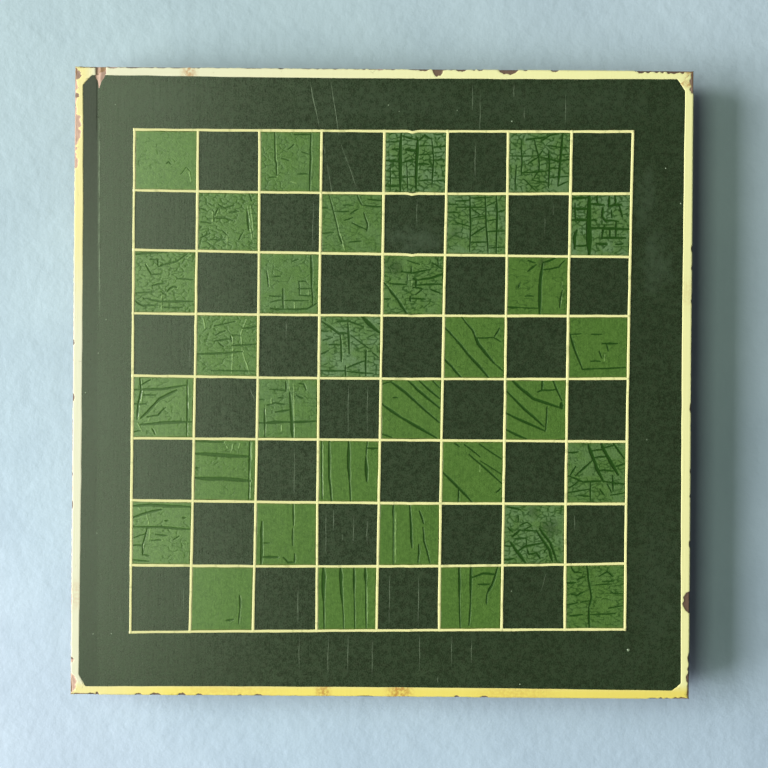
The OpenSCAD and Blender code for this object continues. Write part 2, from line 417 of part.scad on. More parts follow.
        [0.9, [0.2, 2.8], [1.8, 2.8]], [0.6, [2, 2.4], [3.4, 1.8]],
        [0.6, [1, 4.6], [2, 4.8], [3.2, 4.2]],
        [0.5, [0.3, 6.2], [2.2, 5.9]], [0.5, [2.6, 5.8], [4.2, 5.6]], [0.6, [0.8, 7.9], [3, 7.7]],
        [0.5, [5.6, 1.9], [7, 1.2], [8, 2]], [0.5, [6.2, 2.7], [8.2, 2.6]],
        [0.5, [7.6, 4.4], [9.6, 4.6]],
        [0.5, [7.2, 6.8], [9.6, 6.4]], [0.5, [4.1, 7.7], [8.4, 7.6]], [0.4, [5, 3.2], [7.8, 3.1]]
    ]]
];

// Heights of the layers
plank_top = batten_t + board_t;
ground_top = plank_top + ground_t;
// Planks without the coat on their edges
bare_w = board_w - 2 * coat_t;
bare_l = board_l - 2 * coat_t;
plank_joint_x = bare_w / 2 - (right_plank_w - coat_t);
// The painted squares
grid_left = -grid_shift_left - SQUARES * file_w / 2;
grid_near = grid_shift_far - SQUARES * rank_h / 2;
last_station = SQUARES * STATIONS;
// Battens and what holds them
batten_l = board_w - 2 * batten_setback;
batten_y = board_l / 2 - batten_inset;
screw_span = batten_l - 2 * screw_end_inset;
screw_head_h = (screw_head_d - screw_d) / 2;
// Share of its width that a crack has at its ends, and by which it swells and thins
CRACK_END = 0.4;
CRACK_RAGGED = 0.2;
SCREW_RIM = 0.4;
SCREW_TIP = 7;
SLOT_W = 1.1;
SLOT_DEPTH = 1.3;
BRAD_HEAD_H = 0.8;
// Head of a brad as a multiple of its shank
BRAD_HEAD = 1.7;
DOWEL_CHAMFER = 1;
DOWEL_END_ROOM = 1;

WOOD = "#8a6a4c";
BATTEN_WOOD = "#76583d";
DOWEL_WOOD = "#c2a077";
STEEL = "#6f6a64";
GROUND = "#37482f";
YELLOW = "#f3ecae";
GREEN = "#6f9c48";

function square_node(square) = str("green_square_", square[0]);

// Even places from one end of a span to the other
function spread(count, span) = [for (k = [0:count - 1]) -span / 2 + span * k / (count - 1)];

// Value of a smooth bow through its first, middle and last values, at t from 0 to 1
function bow(v, t) = v[0] * (1 - t) * (1 - 2 * t) + v[1] * 4 * t * (1 - t) + v[2] * t * (2 * t - 1);

// Middle of a pinstripe: across the board at a place along it, and the other way
function file_x(file, y) =
    grid_left + file * file_w + bow(FILE_DRIFT[file], 1 - (y - grid_near) / (SQUARES * rank_h));
function rank_y(rank, x) =
    grid_near + rank * rank_h + bow(RANK_DRIFT[rank], (x - grid_left) / (SQUARES * file_w));

// Where a file's pinstripe crosses a rank's
function crossing(file, rank) =
    let (x = file_x(file, grid_near + rank * rank_h), y = rank_y(rank, x)) [file_x(file, y), y];

// Half the width of pinstripe k at a brush station
function half_stripe(k, station) = stripe_w / 2 * (1 + stripe_swell * sin(97 * station + 151 * k));

// How far a pinstripe runs on past its first and last crossings, to cover the corners of the grid
function run_on(station) = station == 0 ? -stripe_w / 2 : station == last_station ? stripe_w / 2 : 0;

// Place of a brush station along a file's pinstripe, and along a rank's
function file_station(file, s) = run_on(s)
    + (s % STATIONS == 0 ? crossing(file, s / STATIONS)[1] : grid_near + s * rank_h / STATIONS);
function rank_station(rank, s) = run_on(s)
    + (s % STATIONS == 0 ? crossing(s / STATIONS, rank)[0] : grid_left + s * file_w / STATIONS);

// Outline of a file's pinstripe between two brush stations, counted from the near end
module file_stripe(file, from, to) {
    function edge(s, side) =
        let (y = file_station(file, s)) [file_x(file, y) + side * half_stripe(file, s), y];
    polygon(concat([for (s = [from:to]) edge(s, -1)], [for (s = [to:-1:from]) edge(s, 1)]));
}

// Outline of a rank's pinstripe between two brush stations, counted from the left end
module rank_stripe(rank, from, to) {
    function edge(s, side) =
        let (x = rank_station(rank, s)) [x, rank_y(rank, x) + side * half_stripe(rank + SQUARES, s)];
    polygon(concat([for (s = [from:to]) edge(s, -1)], [for (s = [to:-1:from]) edge(s, 1)]));
}

// Place on a square, in mm, of a point drawn in tenths of the square
function on_square(file, rank, p) =
    let (
        u = p[0] / 10,
        v = 1 - p[1] / 10,
        near = crossing(file, rank) * (1 - u) + crossing(file + 1, rank) * u,
        far = crossing(file, rank + 1) * (1 - u) + crossing(file + 1, rank + 1) * u
    )
    near * (1 - v) + far * v;

function unit_normal(a, b) = [a[1] - b[1], b[0] - a[0]] / norm(b - a);

// A crack's drawn points, with a wavering point midway along each stretch
function crack_path(p) = [
    for (k = [0:2 * len(p) - 2])
        let (a = p[floor(k / 2)], b = p[ceil(k / 2)])
        k % 2 == 0 ? a : (a + b) / 2 + crack_waver * sin(977 * (a[0] + b[1])) * unit_normal(a, b)
];

// Outline of a crack: narrow at both ends, uneven between them
module crack(width, points) {
    path = crack_path(points);
    last = len(path) - 1;
    function half(k) = crack_opening * width / 2
        * (k == 0 || k == last ? CRACK_END : 1 + CRACK_RAGGED * sin(613 * k + 91 * path[k][0]));
    function edge(k, side) = path[k]
        + side * half(k) * unit_normal(path[max(k - 1, 0)], path[min(k + 1, last)]);
    polygon(concat([for (k = [0:last]) edge(k, 1)], [for (k = [last:-1:0]) edge(k, -1)]));
}

// One square of green paint between its four pinstripes, open at its cracks
module green_square(square) {
    file = ord(square[0][0]) - ord("a");
    rank = ord(square[0][1]) - ord("1");
    near = rank * STATIONS;
    left = file * STATIONS;
    color(GREEN) translate([0, 0, ground_top]) linear_extrude(green_t) difference() {
        polygon([
            crossing(file, rank), crossing(file + 1, rank),
            crossing(file + 1, rank + 1), crossing(file, rank + 1)
        ]);
        for (k = [0, 1]) {
            file_stripe(file + k, near, near + STATIONS);
            rank_stripe(rank + k, left, left + STATIONS);
        }
        for (c = square[1])
            crack(c[0], [for (k = [1:len(c) - 1]) on_square(file, rank, c[k])]);
    }
}

// All the pinstripes, laid over each other as one film
module striping() {
    color(YELLOW) translate([0, 0, ground_top]) union() {
        for (k = [0:SQUARES]) {
            linear_extrude(stripe_t) file_stripe(k, 0, last_station);
            linear_extrude(stripe_t) rank_stripe(k, 0, last_station);
        }
    }
}

// Outline of the dark field: its sides bow in a little, and its corners are clipped
module field_outline() {
    x = board_w / 2 - border_w;
    y = board_l / 2 - border_w;
    c = CORNER_CLIPS;
    // Points of one side, clockwise, as places along it and out from the middle of the board
    function side(half, out, first_clip, last_clip) = [
        for (k = [0:SIDE_POINTS])
            let (run = 2 * half - first_clip - last_clip, along = first_clip - half + run * k / SIDE_POINTS)
            [along, out - border_swell * (1 - pow(along / half, 2))]
    ];
    polygon(concat(
        [for (p = side(x, y, c[0][0], c[1][0])) [p[0], p[1]]],
        [for (p = side(y, x, c[1][1], c[2][1])) [p[1], -p[0]]],
        [for (p = side(x, y, c[2][0], c[3][0])) [-p[0], -p[1]]],
        [for (p = side(y, x, c[3][1], c[0][1])) [-p[1], p[0]]]
    ));
}

// Outline of a flat slab seen from its end, with round upper corners
module slab_end(w, t, r) {
    translate([-w / 2, 0]) square([w, t - r]);
    translate([-w / 2 + r, 0]) square([w - 2 * r, t]);
    for (side = [-1, 1]) translate([side * (w / 2 - r), t - r]) circle(r);
}

// A slab with all four upper edges rounded, standing on z = 0
module slab(w, l, t, r) {
    intersection() {
        rotate([90, 0, 0]) translate([0, 0, -l / 2]) linear_extrude(l) slab_end(w, t, r);
        rotate([90, 0, 90]) translate([0, 0, -w / 2]) linear_extrude(w) slab_end(l, t, r);
    }
}

// The splintered opening at the far end of the strip joint
module gouge() {
    far = board_l / 2;
    x = -board_w / 2 + strip_w_far;
    // Its ragged outline, as shares of its width from the joint and of its length from the edge
    outline = [[-0.4, -0.1], [0.6, -0.1], [0.45, 0.35], [0.3, 1], [0.05, 0.7], [-0.3, 0.3]];
    translate([0, 0, plank_top - gouge_depth]) linear_extrude(gouge_depth + coat_t + stripe_t)
        polygon([for (p = outline) [x + p[0] * gouge_w, far - p[1] * gouge_l]]);
}

// Outline of the zone that a plank takes of the board, between two joints
module between_joints(left_far, left_near, right_far, right_near) {
    y = board_l / 2;
    polygon([[left_near, -y], [right_near, -y], [right_far, y], [left_far, y]]);
}

module plank_blank() {
    translate([0, 0, batten_t]) slab(bare_w, bare_l, board_t, arris_r);
}

module plank(left_far, left_near, right_far, right_near) {
    color(WOOD) difference() {
        intersection() {
            plank_blank();
            translate([0, 0, batten_t - 1]) linear_extrude(board_t + 2)
                between_joints(left_far, left_near, right_far, right_near);
        }
        dowels(dowel_d / 2 + bore_clear, dowel_l / 2 + DOWEL_END_ROOM);
        brads(bore_clear);
        for (side = [-1, 1]) batten_screws(side, bore_clear);
        gouge();
    }
}

strip_far = -board_w / 2 + strip_w_far;
strip_near = -board_w / 2 + strip_w_near;
past_edge = board_w;

module left_edge_strip() {
    plank(-past_edge, -past_edge, strip_far, strip_near);
}

module middle_plank() {
    plank(strip_far, strip_near, plank_joint_x, plank_joint_x);
}

module right_plank() {
    plank(plank_joint_x, plank_joint_x, past_edge, past_edge);
}

// Dowels of the wide joint, or the bores for them
module dowels(r, half_l) {
    for (y = spread(dowel_count, bare_l - 2 * dowel_end_inset))
        translate([plank_joint_x - half_l, y, batten_t + board_t / 2]) rotate([0, 90, 0])
            rotate_extrude() polygon([
                [0, 0], [r - DOWEL_CHAMFER, 0], [r, DOWEL_CHAMFER], [r, 2 * half_l - DOWEL_CHAMFER],
                [r - DOWEL_CHAMFER, 2 * half_l], [0, 2 * half_l]
            ]);
}

module edge_dowels() {
    color(DOWEL_WOOD) dowels(dowel_d / 2, dowel_l / 2);
}

// Brads through the strip, or the bores for them when they are given a clearance
module brads(clear) {
    r = brad_d / 2 + clear;
    for (y = spread(brad_count, bare_l - 2 * dowel_end_inset))
        translate([-bare_w / 2, y, batten_t + board_t / 2]) rotate([0, 90, 0])
            rotate_extrude() polygon([
                [0, -clear], [BRAD_HEAD * r, -clear], [BRAD_HEAD * r, BRAD_HEAD_H + clear],
                [r, BRAD_HEAD_H + clear], [r, brad_l - 2 * brad_d], [0, brad_l + clear]
            ]);
}

module strip_brads() {
    color(STEEL) brads(0);
}

// A batten with its holes, on the far side (1) or the near side (-1)
module batten(side) {
    color(BATTEN_WOOD) difference() {
        translate([0, side * batten_y, 0]) intersection() {
            rotate([90, 0, 90]) translate([0, 0, -batten_l / 2]) linear_extrude(batten_l)
                bevelled_end(batten_w);
            rotate([90, 0, 0]) translate([0, 0, -batten_w / 2]) linear_extrude(batten_w)
                bevelled_end(batten_l);
        }
        batten_screws(side, bore_clear);
        if (side == 1) translate([0, batten_y, -1]) cylinder(h = peg_hole_depth + 1, d = peg_hole_d);
    }
}

// Outline of a batten seen from an end or a side, with its lower corners bevelled
module bevelled_end(w) {
    b = batten_bevel;
    polygon([
        [-w / 2 + b, 0], [w / 2 - b, 0], [w / 2, b],
        [w / 2, batten_t], [-w / 2, batten_t], [-w / 2, b]
    ]);
}

module upper_batten() {
    batten(1);
}

module lower_batten() {
    batten(-1);
}

// Outline of a countersunk screw from its axis outwards, or of the hole for it
module screw_profile(clear) {
    r = screw_d / 2 + clear;
    head_r = screw_head_d / 2 + clear;
    mouth = clear > 0 ? -screw_sink - 1 : 0;
    polygon([
        [0, mouth], [head_r, mouth], [head_r, SCREW_RIM], [r, SCREW_RIM + screw_head_h],
        [r, screw_l - SCREW_TIP], [0, screw_l + clear]
    ]);
}

// The screws of one batten, or the holes for them when they are given a clearance
module batten_screws(side, clear) {
    places = spread(screws_per_batten, screw_span);
    for (k = [0:screws_per_batten - 1])
        translate([places[k], side * batten_y, screw_sink]) rotate(50 * k + 25 * side) difference() {
            rotate_extrude() screw_profile(clear);
            if (clear == 0) translate([-screw_head_d, -SLOT_W / 2, -1])
                cube([2 * screw_head_d, SLOT_W, SLOT_DEPTH + 1]);
        }
}

module upper_batten_screws() {
    color(STEEL) batten_screws(1, 0);
}

module lower_batten_screws() {
    color(STEEL) batten_screws(-1, 0);
}

module ground_coat() {
    color(GROUND) difference() {
        translate([0, 0, plank_top]) linear_extrude(ground_t) field_outline();
        gouge();
    }
}

// A chip across the arris of the far side, cut slantwise so that it opens both on the face and on
// the side. Every second chip is turned end for end
module chip(c, half, turned) {
    reach = max(c[2], c[3]) + coat_t;
    length = (c[1] - c[0]) / 100 * half;
    rotate([-45, 0, 0]) translate([0, 0, -reach]) linear_extrude(reach + 1) polygon([
        for (p = CHIP_OUTLINE) [
            c[0] / 100 * half + (turned ? 1 - p[0] : p[0]) * length,
            p[1] * (p[1] < 0 ? c[2] : c[3]) * cos(45)
        ]
    ]);
}

module border_chips() {
    for (side = [0:3]) {
        half = (side % 2 == 0 ? board_w : board_l) / 2;
        out = (side % 2 == 0 ? board_l : board_w) / 2;
        rotate([0, 0, -90 * side]) translate([0, out, plank_top + coat_t])
            for (k = [0:len(BORDER_CHIPS[side]) - 1]) chip(BORDER_CHIPS[side][k], half, k % 2 == 1);
    }
}

// Yellow paint on the face's margin, over the edges and down the sides
module border_coat() {
    color(YELLOW) difference() {
        translate([0, 0, batten_t]) slab(board_w, board_l, board_t + coat_t, arris_r + coat_t);
        plank_blank();
        translate([0, 0, plank_top - 1]) linear_extrude(coat_t + 2) field_outline();
        gouge();
        border_chips();
    }
}

left_edge_strip();
middle_plank();
right_plank();
edge_dowels();
strip_brads();
upper_batten();
lower_batten();
upper_batten_screws();
lower_batten_screws();
ground_coat();
border_coat();
striping();
for (s = SQUARE_CRACKS) green_square(s);
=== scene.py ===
"""Looks of an antique painted checkerboard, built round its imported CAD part."""

import math

import bmesh
import bpy
import numpy as np
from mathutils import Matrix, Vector
from mathutils.bvhtree import BVHTree


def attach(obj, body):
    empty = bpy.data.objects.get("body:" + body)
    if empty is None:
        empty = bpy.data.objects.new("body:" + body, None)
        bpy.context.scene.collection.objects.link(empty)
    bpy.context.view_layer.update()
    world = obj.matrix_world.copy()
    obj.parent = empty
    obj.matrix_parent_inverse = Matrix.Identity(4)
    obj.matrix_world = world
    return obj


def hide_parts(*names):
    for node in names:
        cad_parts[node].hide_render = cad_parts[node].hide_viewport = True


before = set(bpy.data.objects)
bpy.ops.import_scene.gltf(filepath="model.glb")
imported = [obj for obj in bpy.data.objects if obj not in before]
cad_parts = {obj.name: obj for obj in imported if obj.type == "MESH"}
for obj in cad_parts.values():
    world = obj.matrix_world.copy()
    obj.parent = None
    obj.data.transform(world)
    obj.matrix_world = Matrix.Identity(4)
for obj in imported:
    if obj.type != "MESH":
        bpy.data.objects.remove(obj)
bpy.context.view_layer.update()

MM = 0.001

# Sizes in mm, as in the part's source
BOARD_W = 406
BOARD_L = 412
BATTEN_T = 14
PLANK_TOP = 30
GROUND_TOP = 30.2
COAT_TOP = 30.3
GREEN_TOP = 30.45
STRIPE_RISE = 0.4
STRIPE_W = 1.8
COAT_T = 0.3
BORDER_W = 5.6
BORDER_SWELL = 1
# Radius of the coat's outer skin at the arris: the wood's 0.6 and the coat's thickness
ARRIS_R = 0.9
SQUARES = 8
FILE_W = 40.75
RANK_H = 41
GRID_LEFT = -163.8
GRID_NEAR = -162.8
STRIP_FAR = -188
STRIP_NEAR = -185
WIDE_JOINT_X = 19
GOUGE_L = 12.5
# The eye sees the gouge's torn face, which lies higher than its cut floor: how deep the slit is
# sunk into that face, and how deep the face lies under the paint
SLIT_DEPTH = 0.2
TORN_DEPTH = 0.13
FILE_DRIFT = [
    [0.4, 0.4, 0.2], [1.3, 0.5, -1.5], [0.8, 0.9, -1.0], [0.9, 0.1, -0.1], [1.2, 0.1, -1.5],
    [2.0, -0.2, -1.3], [0.7, 0.1, -1.1], [1.7, 0, -0.4], [1.1, -1.0, -1.7],
]
RANK_DRIFT = [
    [-1.9, 0.5, 2.4], [1.1, 1.5, 4.6], [2.6, 2.0, 2.6], [2.2, 2.3, 2.4], [2.3, 1.5, 2.7],
    [2.1, 1.9, 2.8], [2.7, 1.1, 0.4], [0.7, -0.1, 1.0], [-0.5, -0.3, 0.6],
]
# Clipped corners of the dark field, across and along: far left, far right, near right, near left
CORNER_CLIPS = [[5.8, 6.7], [5.2, 7.7], [5.8, 4.8], [4.5, 7.8]]

# How finely each green square has crazed: share of the cell borders that have opened, how dark
# they are, half a line's width in mm, and the cells' width and height in mm
CRAZING = {
    "a8": (0.4, 0.45, 0.16, 4.5, 2.6), "c8": (0.7, 0.6, 0.2, 4, 3), "e8": (1.0, 0.95, 0.34, 4.2, 3.1),
    "g8": (1.0, 0.85, 0.3, 4.6, 3.2), "b7": (0.85, 0.75, 0.24, 4.8, 2.7), "d7": (0.8, 0.6, 0.18, 5.5, 2.4),
    "f7": (0.95, 0.8, 0.26, 4.8, 2.9), "h7": (0.9, 0.85, 0.3, 4.6, 3), "a6": (0.8, 0.65, 0.2, 5, 2.4),
    "c6": (0.6, 0.6, 0.2, 5.5, 2.8), "e6": (0.8, 0.8, 0.26, 5, 2.8), "g6": (0.5, 0.6, 0.18, 5.5, 2.6),
    "b5": (0.65, 0.6, 0.2, 5.5, 2.5), "d5": (0.85, 0.85, 0.28, 5.2, 2.8), "f5": (0.4, 0.6, 0.16, 5.5, 2.6),
    "h5": (0.45, 0.5, 0.16, 6, 2.8), "a4": (0.5, 0.5, 0.18, 5.5, 2.6), "c4": (0.55, 0.55, 0.18, 5.5, 2.6),
    "e4": (0.08, 0.35, 0.16, 6, 4), "g4": (0.12, 0.35, 0.16, 6, 4), "b3": (0.45, 0.5, 0.16, 6, 2.2),
    "d3": (0.08, 0.35, 0.16, 6, 4), "f3": (0.15, 0.35, 0.16, 6, 3.5), "h3": (0.8, 0.75, 0.28, 4.6, 2.6),
    "a2": (0.5, 0.5, 0.18, 5.5, 2.6), "c2": (0.05, 0.3, 0.16, 6, 4), "e2": (0.08, 0.3, 0.16, 6, 4),
    "g2": (0.9, 0.8, 0.26, 4.2, 2.6), "b1": (0.1, 0.3, 0.16, 6, 4), "d1": (0.06, 0.3, 0.16, 6, 4),
    "f1": (0.15, 0.35, 0.16, 6, 3.5), "h1": (0.8, 0.75, 0.22, 5.2, 2.4),
}
# Squares whose open cracks have shrunk back further, in mm
SHRUNK = {"h7": 0.15, "a8": -0.13, "e8": -0.08, "g8": -0.05, "f7": -0.05}
# Curled lips of paint that stand away from the open cracks, in tenths of the square from its left
# side and from its far side: x and y of one end, x and y of the other
LIPS = {
    "a8": [(8.8, 6.8, 9.1, 8.5)],
    "c8": [(5, 8.3, 6, 8.6)],
    "b7": [(8.2, 2, 9, 8), (8.7, 2, 9.3, 7.6), (2.4, 3, 2.4, 5), (4.8, 6.5, 4.9, 9.5)],
    "d7": [(1.2, 0.4, 3.9, 9.6)],
    "a6": [(4.5, 6.5, 4.5, 9.5), (8.6, 1, 9.4, 0.4)],
    "c6": [(5.9, 8, 5.9, 9.4), (8.3, 6, 8.3, 7)],
    "e6": [(4.8, 4.2, 4.8, 5.4)],
    "g6": [(9.1, 4, 9, 8)],
    "b5": [(8.2, 0.5, 7.3, 3), (7.3, 3, 7.6, 6), (7.6, 6, 8.8, 9.5), (6, 3.3, 5.9, 9.5), (1, 0.5, 1.4, 2.2)],
    "h5": [(6.2, 6, 6.1, 7.2)],
    "a4": [(1.5, 2, 1.3, 4.5), (1, 6, 0.9, 7), (0.6, 7.5, 1.4, 9), (2.8, 6.6, 2.5, 7.2)],
    "c4": [
        (1.3, 5, 1.1, 9.3), (5.1, 0, 5.2, 2), (5.9, 0.5, 6.2, 9.8), (4, 7.7, 4, 8.8), (2.2, 3.2, 2.2, 4.2),
    ],
    "b3": [
        (9.4, 0.3, 9.4, 3.2), (9.3, 5.4, 9.2, 9.6), (5, 0.6, 5.4, 1.4), (6.3, 0.6, 6, 2),
        (7.4, 0.5, 7.2, 1.3),
    ],
    "f3": [(6.2, 3.8, 6.2, 4.9)],
    "d3": [(0.7, 0.3, 0.8, 9)],
    "a2": [(2.4, 2, 2.8, 3.6), (3.1, 4, 2.9, 6), (1, 1, 1.4, 1.4)],
    "e2": [(2.7, 1, 2.8, 9.5)],
    "d1": [(8.5, 3, 8.6, 9)],
}
# Dark stains in green squares, in the same tenths: x, y, radius and strength
STAINS = {
    "e6": [(1.7, 1.9, 1.9, 0.6), (1, 1.2, 1.2, 0.4)],
    "g2": [(4.8, 1.2, 1.3, 0.45), (7.6, 4, 2, 0.55)],
    "f7": [(1.5, 6.6, 1.4, 0.3)],
    "g6": [(5.7, 1, 0.9, 0.5)],
}
# Squares whose islands of paint have turned milky
MILKY = {
    "c8": 0.3, "e8": 1.0, "g8": 0.9, "b7": 0.2, "d7": 0.4, "f7": 0.8, "h7": 1.0, "c6": 0.4, "e6": 0.4,
    "b5": 0.2, "d5": 1.0, "c4": 0.4, "h3": 0.5, "g2": 0.8, "h1": 0.2,
}


# Noise and shapes on arrays


def lattice(i, j, seed):
    """Random numbers from 0 to 1 at whole-number places, mixed from the seed, the same at every run."""
    n = (i.astype(np.int64) * 374761393 + j.astype(np.int64) * 668265263 + seed * 974634777) & 0xFFFFFFFF
    n = ((n ^ (n >> 13)) * 1274126177) & 0xFFFFFFFF
    return ((n ^ (n >> 16)) & 0xFFFF) / 0xFFFF


def noise(x, y, seed):
    """Smooth noise from 0 to 1, with features one unit across."""
    i = np.floor(x)
    j = np.floor(y)
    u = x - i
    v = y - j
    u = u * u * (3 - 2 * u)
    v = v * v * (3 - 2 * v)
    near = lattice(i, j, seed) * (1 - u) + lattice(i + 1, j, seed) * u
    far = lattice(i, j + 1, seed) * (1 - u) + lattice(i + 1, j + 1, seed) * u
    return near * (1 - v) + far * v


def rough(x, y, seed):
    """Noise in three layers, each half as large and half as strong as the one before."""
    return (noise(x, y, seed) * 4 + noise(2 * x, 2 * y, seed + 1) * 2 + noise(4 * x, 4 * y, seed + 2)) / 7


def smooth_step(low, high, value):
    t = np.clip((value - low) / (high - low), 0, 1)
    return t * t * (3 - 2 * t)


def cell_borders(x, y, jitter, seed):
    """Distance to the nearest border of random cells about one unit wide, and a number for each border.

    Jitter is how far the cells' middles lie off an even grid: 0 gives squares, 1 loose polygons.
    """
    i = np.floor(x)
    j = np.floor(y)
    nearest = [np.full(x.shape, 1e9)] + [np.zeros(x.shape)] * 3
    second = list(nearest)
    for di in (-1, 0, 1):
        for dj in (-1, 0, 1):
            cx = i + di + 0.5 + jitter * (lattice(i + di, j + dj, seed) - 0.5)
            cy = j + dj + 0.5 + jitter * (lattice(i + di, j + dj, seed + 1) - 0.5)
            cell = [(x - cx) ** 2 + (y - cy) ** 2, cx, cy, lattice(i + di, j + dj, seed + 2)]
            first = cell[0] < nearest[0]
            runner_up = ~first & (cell[0] < second[0])
            second = [
                np.where(first, a, np.where(runner_up, c, b)) for a, b, c in zip(nearest, second, cell)
            ]
            nearest = [np.where(first, c, a) for a, c in zip(nearest, cell)]
    apart = np.hypot(nearest[1] - second[1], nearest[2] - second[2])
    border = (second[0] - nearest[0]) / (2 * np.maximum(apart, 1e-6))
    return border, ((nearest[3] + second[3]) * 43.17) % 1


def off_segment(x, y, x0, y0, x1, y1):
    """Distance from a straight segment, and the share of its length where it is nearest."""
    dx = x1 - x0
    dy = y1 - y0
    share = np.clip(((x - x0) * dx + (y - y0) * dy) / (dx * dx + dy * dy), 0, 1)
    return np.hypot(x - x0 - share * dx, y - y0 - share * dy), share


# The painted lines, as in the part's source


def bow(v, t):
    return v[0] * (1 - t) * (1 - 2 * t) + v[1] * 4 * t * (1 - t) + v[2] * t * (2 * t - 1)


def file_x(file, y):
    return GRID_LEFT + file * FILE_W + bow(FILE_DRIFT[file], 1 - (y - GRID_NEAR) / (SQUARES * RANK_H))


def rank_y(rank, x):
    return GRID_NEAR + rank * RANK_H + bow(RANK_DRIFT[rank], (x - GRID_LEFT) / (SQUARES * FILE_W))


def crossing(file, rank):
    x = file_x(file, GRID_NEAR + rank * RANK_H)
    y = rank_y(rank, x)
    return np.array([file_x(file, y), y])


# Meshes


def flat_grid(columns, rows):
    """A flat mesh of cells over x and y from 0 to 1."""
    bm = bmesh.new()
    bmesh.ops.create_grid(bm, x_segments=columns, y_segments=rows, size=0.5)
    bmesh.ops.translate(bm, verts=bm.verts, vec=(0.5, 0.5, 0))
    return bm


def close_below(bm, rim, drop):
    """Gives a sheet a skirt round its rim and a bottom."""
    for edge in rim:
        edge.smooth = False
    made = bmesh.ops.extrude_edge_only(bm, edges=rim)["geom"]
    low = [v for v in made if isinstance(v, bmesh.types.BMVert)]
    bmesh.ops.translate(bm, verts=low, vec=(0, 0, -drop))
    rim = [e for e in made if isinstance(e, bmesh.types.BMEdge) and e.is_boundary]
    for edge in rim:
        edge.smooth = False
    bmesh.ops.edgeloop_fill(bm, edges=rim)


def open_edges(bm):
    return [e for e in bm.edges if e.is_boundary]


def as_mesh(bm, name):
    mesh = bpy.data.meshes.new(name)
    bm.to_mesh(mesh)
    bm.free()
    return mesh


def closed_sheet(bm, name):
    """The mesh of a sheet, one unit deep."""
    close_below(bm, open_edges(bm), 1)
    bmesh.ops.recalc_face_normals(bm, faces=bm.faces)
    return as_mesh(bm, name)


def weld(mesh, apart):
    """Joins vertices less than this many mm apart, and closes what is still open."""
    bm = bmesh.new()
    bm.from_mesh(mesh)
    bmesh.ops.remove_doubles(bm, verts=bm.verts, dist=apart * MM)
    bmesh.ops.holes_fill(bm, edges=open_edges(bm), sides=40)
    bmesh.ops.recalc_face_normals(bm, faces=bm.faces)
    bm.to_mesh(mesh)
    bm.free()


def places(mesh):
    """The places of a mesh's vertices, one row each."""
    co = np.empty(len(mesh.vertices) * 3)
    mesh.vertices.foreach_get("co", co)
    return co.reshape(-1, 3)


def move_to(mesh, x, y, z):
    """Puts the vertices at these places, given in mm."""
    mesh.vertices.foreach_set("co", (np.column_stack([x, y, z]) * MM).ravel())
    mesh.update()


def paint(mesh, name, values):
    """Keeps a value for each vertex, which the material reads by this name."""
    attribute = mesh.attributes.new(name, "FLOAT", "POINT")
    attribute.data.foreach_set("value", np.asarray(values, dtype=np.float32))


def loop_places(mesh, co):
    """For each corner of each face: its vertex's place, the face's middle and the face's normal."""
    count = len(mesh.loops)
    vertex = np.empty(count, dtype=np.int32)
    mesh.loops.foreach_get("vertex_index", vertex)
    sizes = np.empty(len(mesh.polygons), dtype=np.int32)
    mesh.polygons.foreach_get("loop_total", sizes)
    face = np.repeat(np.arange(len(sizes)), sizes)
    normals = np.empty(len(sizes) * 3)
    mesh.polygons.foreach_get("normal", normals)
    corner = co[vertex]
    middle = np.zeros((len(sizes), 3))
    np.add.at(middle, face, corner)
    middle = middle / sizes[:, None]
    return corner, middle[face], normals.reshape(-1, 3)[face]


def lay_map(mesh, uv):
    """Gives the mesh the map that its baked pictures are laid on."""
    layer = mesh.uv_layers.new(name="OFBake")
    layer.uv.foreach_set("vector", np.clip(uv, 0, 1).ravel())


# The margin of a sheet's map, and how much of it the face takes across and along
MAP_MARGIN = 0.01
FACE_ON_MAP = (0.88, 0.98)


def on_map(s, t):
    """The place on a sheet's map of a place on its face."""
    return MAP_MARGIN + FACE_ON_MAP[0] * s, MAP_MARGIN + FACE_ON_MAP[1] * t


def sheet_map(mesh, flat):
    """The sheet seen from above, a strip for each side of its skirt, and a corner for its bottom."""
    corner, _, normal = loop_places(mesh, flat)
    uv = np.column_stack(on_map(corner[:, 0], corner[:, 1]))
    side = np.abs(normal[:, 2]) < 0.5
    across = np.abs(normal[:, 0]) > np.abs(normal[:, 1])
    number = np.where(across, 0, 2) + (normal[:, 0] + normal[:, 1] > 0)
    along = np.where(across, corner[:, 1], corner[:, 0])
    strip = np.column_stack([0.91 + 0.022 * number + 0.014 * (1 + corner[:, 2]), 0.01 + 0.8 * along])
    uv[side] = strip[side]
    bottom = normal[:, 2] < -0.5
    uv[bottom] = np.column_stack([0.91 + 0.08 * corner[:, 0], 0.85 + 0.14 * corner[:, 1]])[bottom]
    lay_map(mesh, uv)


def make_piece(mesh, material, slot, *nodes):
    """Makes the piece that stands for these nodes."""
    mesh.materials.append(material)
    mesh.polygons.foreach_set("use_smooth", np.ones(len(mesh.polygons), dtype=bool))
    piece = bpy.data.objects.new(mesh.name, mesh)
    bpy.context.scene.collection.objects.link(piece)
    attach(piece, "root")
    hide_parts(*nodes)


# Node graphs

# Sockets of the shared effects that aren't plain numbers
SOCKET_KINDS = {"Vector": "Vector", "Pith": "Vector", "Early": "Color", "Late": "Color", "Color": "Color"}


def srgb(red, green, blue):
    """A colour given as it shows on a screen, from 0 to 255."""
    shares = [c / 255 for c in (red, green, blue)]
    return (*(((c + 0.055) / 1.055) ** 2.4 if c > 0.04 else c / 12.92 for c in shares), 1)


